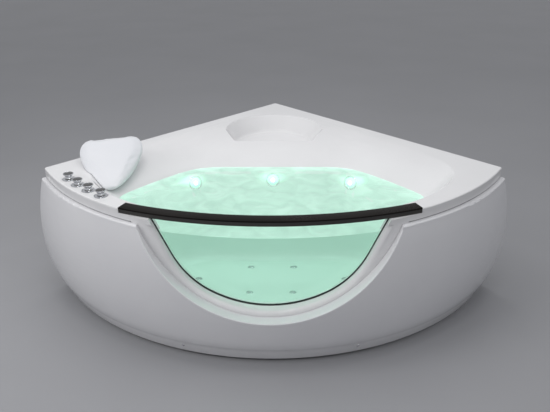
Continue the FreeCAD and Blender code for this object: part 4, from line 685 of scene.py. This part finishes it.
def makePad():
    source = addObject("padSource", mergedMesh("headrest_pillow"))
    wrap = source.modifiers.new("evenFaces", "REMESH")
    wrap.mode = "VOXEL"
    wrap.voxel_size = pad["voxel"]
    bpy.context.view_layer.update()
    graph = bpy.context.evaluated_depsgraph_get()
    mesh = bpy.data.meshes.new_from_object(source.evaluated_get(graph), depsgraph=graph)
    bpy.data.objects.remove(source)
    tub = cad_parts["tub_shell"]
    shellTree = BVHTree.FromPolygons([vert.co for vert in tub.data.vertices],
                                     [tuple(face.vertices) for face in tub.data.polygons])
    count = len(mesh.vertices)
    rest = np.array([vert.co for vert in mesh.vertices])
    normals = np.array([vert.normal for vert in mesh.vertices])
    # freedom is 0 within "touch" of the tub, and 1 from "hold" beyond that
    away = np.array([shellTree.find_nearest(Vector(co))[3] or 1.0 for co in rest])
    freedom = np.clip((away - pad["touch"]) / pad["hold"], 0, 1)
    freedom = freedom * freedom * (3 - 2 * freedom)
    start = rest - normals * (pad["shrink"] * freedom)[:, None]
    start = relaxed(mesh, start, freedom, 14)
    mesh.vertices.foreach_set("co", start.ravel())
    mesh.update()
    obj = addObject("headrestPad", mesh)
    hold = obj.vertex_groups.new(name="hold")
    for i in range(count):
        hold.add([i], float(1 - freedom[i]), "REPLACE")
    cloth = obj.modifiers.new("fill", "CLOTH")
    cloth.settings.use_pressure = True
    cloth.settings.uniform_pressure_force = pad["pressure"]
    cloth.settings.effector_weights.gravity = 0
    cloth.settings.vertex_group_mass = "hold"
    cloth.settings.quality = 5
    cloth.point_cache.frame_start = 1
    cloth.point_cache.frame_end = pad["frames"]
    for step in range(1, pad["frames"] + 1):
        bpy.context.scene.frame_set(step)
    graph = bpy.context.evaluated_depsgraph_get()
    swollen = bpy.data.meshes.new_from_object(obj.evaluated_get(graph), depsgraph=graph)
    moved = np.array([vert.co for vert in swollen.vertices])
    bpy.data.meshes.remove(swollen)
    obj.modifiers.clear()
    obj.vertex_groups.clear()
    bpy.context.scene.frame_set(1)
    push = moved - start
    size = np.linalg.norm(push, axis=1)
    limit = pad["cap"] * freedom
    push *= np.minimum(1, limit / np.maximum(size, 1e-9))[:, None]
    filled = relaxed(mesh, start + push, freedom, 6)
    mesh.vertices.foreach_set("co", filled.ravel())
    mesh.update()
    smoothed(mesh, 180)
    fine = obj.modifiers.new("fine", "SUBSURF")
    fine.levels = 1
    fine.render_levels = 1
    dress(obj, "pad_white", nodes=["headrest_pillow"])


def relaxed(mesh, points, freedom, rounds):
    # evens out a surface without drawing it in: one step in, one step out
    ends = np.array([tuple(edge.vertices) for edge in mesh.edges])
    for k in range(rounds * 2):
        total = np.zeros_like(points)
        number = np.zeros(len(points))
        for one, two in ((0, 1), (1, 0)):
            np.add.at(total, ends[:, one], points[ends[:, two]])
            np.add.at(number, ends[:, one], 1)
        shift = total / np.maximum(number, 1)[:, None] - points
        weight = 0.5 if k % 2 == 0 else -0.52
        points = points + shift * weight * freedom[:, None]
    return points


makePad()
print("headrest ready")


# ---- everything under the tub
underParts = {
    "steel": ["apron_brackets", "foot_rods", "foot_nuts"],
    "brass": ["valve_nuts", "mixing_tee", "filler_body", "filler_nut"],
    "plastic_black": ["foot_pads", "cable_gland", "drain_cable"],
    "frame_paint": ["base_frame", "frame_posts", "equipment_plate"],
    "board": ["floor_board"],
    "plastic_white": ["waste_trap", "waste_outlet", "waste_nut", "air_ring", "air_jet_bodies", "light_housings",
                      "light_nuts", "air_hose", "filler_hose", "air_switch_tube"],
    "plastic_grey": ["blower_housing", "control_box", "plug_guide"],
    "motor_paint": ["blower_motor"],
    "chrome": ["headrest_pins"],
}


def makeUnderParts():
    for look, names in underParts.items():
        for name in names:
            carriedOver(name, look)
    carriedOver("blower_impeller", "plastic_black", "impeller")


motor = {"fins": 28, "finDepth": 0.0035, "finWidth": 0.0022, "share": 0.62}
case = {"screwRadius": 0.0042, "inset": 0.011, "ventBars": 7}


def boxMesh(name, size):
    bm = bmesh.new()
    bmesh.ops.create_cube(bm, size=1.0)
    bmesh.ops.scale(bm, vec=size, verts=bm.verts)
    bmesh.ops.bevel(bm, geom=bm.edges[:], offset=min(size) * 0.22, segments=2, affect="EDGES", profile=0.5)
    mesh = bpy.data.meshes.new(name)
    bm.to_mesh(mesh)
    bm.free()
    return mesh


def makeBlowerDetails():
    low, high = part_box("blower_motor")
    centre = Vector(((low.x + high.x) / 2, (low.y + high.y) / 2, low.z))
    r, h = (high.x - low.x) / 2, high.z - low.z
    places = []
    for k in range(motor["fins"]):
        a = 2 * math.pi * k / motor["fins"]
        out = Vector((math.cos(a), math.sin(a), 0))
        places.append((centre + out * (r - 0.0002) + up * h * 0.52, out, up))
    fin = boxMesh("fin", (h * motor["share"], motor["finWidth"], motor["finDepth"]))
    fins = placedCopies("motorFins", fin, places, "motor_paint")
    dress(smoothedObject(fins), "motor_paint")
    low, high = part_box("control_box")
    places = []
    for x in (low.x + case["inset"], high.x - case["inset"]):
        for y in (low.y + case["inset"], high.y - case["inset"]):
            places.append((Vector((x, y, high.z)), up, Vector((1, 0.4, 0))))
    head = latheMesh("caseScrew", softCorners([(0, -0.001), (case["screwRadius"], -0.001),
                                               (case["screwRadius"], 0.0012), (0.0022, 0.0021),
                                               (0.0018, 0.0009), (0, 0.0009)], 0.0004),
                     Vector((0, 0, 0)), up, False, 24)
    screws = placedCopies("caseScrews", head, places, "steel")
    dress(smoothedObject(screws), "steel")
    places = []
    span = high.x - low.x
    for k in range(case["ventBars"]):
        x = low.x + span * (0.30 + 0.40 * k / (case["ventBars"] - 1))
        places.append((Vector((x, (low.y + high.y) / 2, high.z + 0.0004)), up, Vector((0, 1, 0))))
    bar = boxMesh("ventBar", ((high.y - low.y) * 0.45, 0.0030, 0.0016))
    vents = placedCopies("caseVents", bar, places, "plastic_black")
    dress(smoothedObject(vents), "plastic_black")


def smoothedObject(obj):
    smoothed(obj.data, 40)
    return obj


makeUnderParts()
makeBlowerDetails()
print("frame, pipes and blower ready")


# ---- water, floor, lamps and camera: none of it belongs to the tub
water = {"level": 0.505, "centre": (0.0, -0.29), "gap": 0.0012, "steps": 220,
         "tint": (0.868, 0.962, 0.925), "glow": (0.42, 1.0, 0.70), "milk": (0.80, 1.0, 0.90),
         "topPaintedGlow": 0.26, "sidePaintedGlow": 0.05, "halo": 0.55, "haloReach": 0.085, "haloShift": -0.10,
         "paneHalf": 21.0, "paneLow": 0.222, "paneSteps": 96,
         "ringHeights": (0.1675, 0.172, 0.180, 0.195, 0.22, 0.26, 0.31, 0.37, 0.43, 0.47, 0.495)}


def waterMaterial():
    made = bpy.data.materials.new("litWater")
    made.use_nodes = True
    tree = made.node_tree
    tree.nodes.clear()
    place = node(tree, "ShaderNodeTexCoord")
    ripple = node(tree, "ShaderNodeTexNoise", Vector=place.outputs["Object"], Scale=11.0, Detail=4.0,
                  Distortion=1.2)
    parts = node(tree, "ShaderNodeSeparateXYZ", Vector=place.outputs["Object"])
    isTop = node(tree, "ShaderNodeMath", {"operation": "GREATER_THAN"}, i0=parts.outputs["Z"],
                 i1=water["level"] - 0.001)
    bump = node(tree, "ShaderNodeBump", Strength=0.9, Distance=0.012, Height=ripple.outputs["Fac"])
    clear = node(tree, "ShaderNodeBsdfTransparent", Color=water["tint"] + (1,))
    shine = node(tree, "ShaderNodeBsdfGlossy", Roughness=0.06, Normal=bump.outputs["Normal"])
    edge = node(tree, "ShaderNodeFresnel", IOR=1.33, Normal=bump.outputs["Normal"])
    amount = node(tree, "ShaderNodeMath", {"operation": "MULTIPLY"}, i0=edge.outputs[0], i1=isTop.outputs[0])
    mixed = node(tree, "ShaderNodeMixShader", i0=amount.outputs[0], i1=clear.outputs[0], i2=shine.outputs[0])
    total = None
    # painted pools of the lenses' light on the water's top, drawn as emission around each lens
    for points in islands("light_lenses"):
        centre = Vector((points.max(0) + points.min(0)) / 2)
        centre.z = water["level"]
        near = node(tree, "ShaderNodeVectorMath", {"operation": "DISTANCE"}, i0=place.outputs["Object"],
                    i1=centre + Vector((0, water["haloShift"], 0)))
        fade = node(tree, "ShaderNodeMapRange", {"interpolation_type": "SMOOTHERSTEP"},
                    Value=near.outputs["Value"], **{"From Min": 0.0, "From Max": water["haloReach"],
                                                    "To Min": water["halo"], "To Max": 0.0})
        if total is None:
            total = fade.outputs[0]
        else:
            total = node(tree, "ShaderNodeMath", {"operation": "ADD"}, i0=total, i1=fade.outputs[0]).outputs[0]
    onTop = node(tree, "ShaderNodeMath", {"operation": "MULTIPLY"}, i0=total, i1=isTop.outputs[0])
    glow = node(tree, "ShaderNodeEmission", Color=water["glow"] + (1,), Strength=onTop.outputs[0])
    lit = node(tree, "ShaderNodeAddShader", i0=mixed.outputs[0], i1=glow.outputs[0])
    # painted light in the water: a pale emission, cloudy on the top and faint on the sides
    cloud = node(tree, "ShaderNodeMapRange", Value=ripple.outputs["Fac"],
                 **{"From Min": 0.35, "From Max": 0.65, "To Min": water["topPaintedGlow"] * 0.75,
                    "To Max": water["topPaintedGlow"] * 1.25})
    amount = node(tree, "ShaderNodeMix", {"data_type": "FLOAT"}, i0=isTop.outputs[0], i2=water["sidePaintedGlow"],
                  i3=cloud.outputs[0])
    milk = node(tree, "ShaderNodeEmission", Color=water["milk"] + (1,), Strength=amount.outputs[0])
    both = node(tree, "ShaderNodeAddShader", i0=lit.outputs[0], i1=milk.outputs[0])
    node(tree, "ShaderNodeOutputMaterial", Surface=both.outputs[0])
    return made


def paneWaterMaterial():
    # bends what is seen through the pane, as water does, and lets the light through
    made = bpy.data.materials.new("waterBehindPane")
    made.use_nodes = True
    tree = made.node_tree
    tree.nodes.clear()
    path = node(tree, "ShaderNodeLightPath")
    seen = node(tree, "ShaderNodeMath", {"operation": "MAXIMUM"}, i0=path.outputs["Is Camera Ray"],
                i1=path.outputs["Is Transmission Ray"])
    clear = node(tree, "ShaderNodeBsdfTransparent")
    bent = node(tree, "ShaderNodeBsdfRefraction", IOR=1.33, Roughness=0.0)
    both = node(tree, "ShaderNodeMixShader", i0=seen.outputs[0], i1=clear.outputs[0], i2=bent.outputs[0])
    node(tree, "ShaderNodeOutputMaterial", Surface=both.outputs[0])
    return made


def makePaneWater():
    pane = np.array([tuple(vert.co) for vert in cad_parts["window_pane"].data.vertices])
    axisY = railAxis(np.array([tuple(vert.co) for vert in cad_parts["rail_cap"].data.vertices]))
    radius = np.hypot(pane[:, 0], pane[:, 1] - axisY).min() - water["gap"] * 1.25
    half = math.radians(water["paneHalf"])
    steps = water["paneSteps"]
    bm = bmesh.new()
    rows = []
    for z in (water["paneLow"], water["level"]):
        rows.append([bm.verts.new((radius * math.sin(a), axisY - radius * math.cos(a), z))
                     for a in np.linspace(-half, half, steps)])
    for k in range(steps - 1):
        bm.faces.new((rows[0][k], rows[0][k + 1], rows[1][k + 1], rows[1][k]))
    mesh = bpy.data.meshes.new("paneWater")
    bm.to_mesh(mesh)
    bm.free()
    smoothed(mesh, 60)
    obj = addObject("paneWater", mesh)
    mesh.materials.append(paneWaterMaterial())


def makeWater():
    points, faces = [], []
    for name in ("tub_shell", "window_pane", "window_gasket"):
        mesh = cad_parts[name].data
        offset = len(points)
        points += [vert.co.copy() for vert in mesh.vertices]
        faces += [tuple(offset + i for i in face.vertices) for face in mesh.polygons]
    inside = BVHTree.FromPolygons(points, faces)
    centre = Vector(water["centre"] + (0,))
    levels = list(water["ringHeights"]) + [water["level"]]
    bm = bmesh.new()
    rings = []
    for z in levels:
        ring = []
        for k in range(water["steps"]):
            a = 2 * math.pi * k / water["steps"]
            out = Vector((math.cos(a), math.sin(a), 0))
            hit = inside.ray_cast(centre + up * z, out)
            reach = (hit[3] if hit[0] else 0.4) - water["gap"]
            ring.append(bm.verts.new(centre + up * z + out * reach))
        rings.append(ring)
    for low, high in zip(rings, rings[1:]):
        for k in range(water["steps"]):
            far = (k + 1) % water["steps"]
            bm.faces.new((low[k], low[far], high[far], high[k]))
    for ring in (rings[0], rings[-1]):
        z = ring[0].co.z
        middle = bm.verts.new(centre + up * z)
        for k in range(water["steps"]):
            bm.faces.new((ring[k], ring[(k + 1) % water["steps"]], middle))
    bmesh.ops.recalc_face_normals(bm, faces=bm.faces)
    mesh = bpy.data.meshes.new("water")
    bm.to_mesh(mesh)
    bm.free()
    smoothed(mesh, 40)
    obj = addObject("water", mesh)
    mesh.materials.append(waterMaterial())


# "seen" is what the camera sees behind the tub, and reflections take the share "mirrored" of it
backdrop = {"floor": (0.36, 0.36, 0.375), "floorReach": 14, "seen": (0.80, 0.80, 0.81), "mirrored": 0.35,
            "light": (0.90, 0.92, 0.96), "strength": 0.42}


def makeFloor():
    mesh = bpy.data.meshes.new("floor")
    reach = backdrop["floorReach"]
    mesh.from_pydata([(-reach, -reach, 0), (reach, -reach, 0), (reach, reach, 0), (-reach, reach, 0)], [],
                     [(0, 1, 2, 3)])
    obj = addObject("floor", mesh)
    made = bpy.data.materials.new("paleFloor")
    made.use_nodes = True
    tree = made.node_tree
    shader = tree.nodes["Principled BSDF"]
    tone = node(tree, "ShaderNodeGroup", {"node_tree": toneGroup}, Tone=backdrop["floor"] + (1,),
                Other=tuple(x * 0.95 for x in backdrop["floor"]) + (1,), Scale=1.2, **{"Low Film": 0.0})
    tree.links.new(tone.outputs["Color"], shader.inputs["Base Color"])
    shader.inputs["Roughness"].default_value = 0.5
    mesh.materials.append(made)


def makeWorld():
    world = bpy.data.worlds.new("studio")
    bpy.context.scene.world = world
    world.use_nodes = True
    tree = world.node_tree
    tree.nodes.clear()
    path = node(tree, "ShaderNodeLightPath")
    first = node(tree, "ShaderNodeMath", {"operation": "MAXIMUM"}, i0=path.outputs["Is Camera Ray"],
                 i1=path.outputs["Is Transmission Ray"])
    glossy = node(tree, "ShaderNodeMath", {"operation": "MULTIPLY"}, i0=path.outputs["Is Glossy Ray"],
                  i1=backdrop["mirrored"])
    seen = node(tree, "ShaderNodeMath", {"operation": "MAXIMUM"}, i0=first.outputs[0], i1=glossy.outputs[0])
    dim = node(tree, "ShaderNodeBackground", Color=backdrop["light"] + (1,), Strength=backdrop["strength"])
    white = node(tree, "ShaderNodeBackground", Color=backdrop["seen"] + (1,), Strength=1.0)
    both = node(tree, "ShaderNodeMixShader", i0=seen.outputs[0], i1=dim.outputs[0], i2=white.outputs[0])
    node(tree, "ShaderNodeOutputWorld", Surface=both.outputs[0])


lamps = [
    {"name": "overhead", "at": (-0.2, 0.3, 3.0), "aim": (0, -0.1, 0.45), "size": (2.6, 1.8), "power": 23,
     "mirrored": False},
    {"name": "leftSide", "at": (-2.6, -1.6, 2.1), "aim": (-0.2, -0.3, 0.3), "size": (1.6, 1.6), "power": 24,
     "mirrored": False},
    {"name": "stripLeft", "at": (-0.62, -0.70, 2.6), "aim": (-0.3, -0.1, 0.5), "size": (1.0, 0.10),
     "power": 3.5},
    {"name": "stripRight", "at": (0.75, -0.70, 2.6), "aim": (0.35, -0.1, 0.5), "size": (1.2, 0.10), "power": 4},
    {"name": "edgeLine", "at": (0.0, -2.2, 2.6), "aim": (0, -0.7, 0.4), "size": (3.0, 0.15), "power": 9},
]


def makeLamps():
    for lamp in lamps:
        light = bpy.data.lights.new(lamp["name"], "AREA")
        light.shape = "RECTANGLE"
        light.size, light.size_y = lamp["size"]
        light.energy = lamp["power"]
        obj = addObject(lamp["name"], light)
        obj.location = lamp["at"]
        obj.visible_glossy = lamp.get("mirrored", True)
        aim = Vector(lamp["aim"]) - Vector(lamp["at"])
        obj.rotation_euler = aim.to_track_quat("-Z", "Y").to_euler()


eye = {"at": (0.06036, -2.6484, 1.5687), "forward": (-0.017725, 0.904237, -0.42666),
       "right": (0.999843, 0.016139, -0.007333), "lens": 41.71, "shiftY": -0.0009}


def makeCamera():
    camera = bpy.data.cameras.new("camera")
    camera.lens = eye["lens"]
    camera.sensor_width = 36
    camera.sensor_fit = "HORIZONTAL"
    camera.shift_y = eye["shiftY"]
    obj = addObject("camera", camera)
    ahead = Vector(eye["forward"]).normalized()
    right = Vector(eye["right"])
    right = (right - ahead * right.dot(ahead)).normalized()
    above = right.cross(ahead)
    turn = Matrix((right, above, -ahead)).transposed()
    obj.matrix_world = Matrix.Translation(eye["at"]) @ turn.to_4x4()
    bpy.context.scene.camera = obj


makeWater()
makePaneWater()
makeFloor()
makeWorld()
makeLamps()
makeCamera()
bpy.context.scene.view_settings.view_transform = "Standard"
print("stage ready")
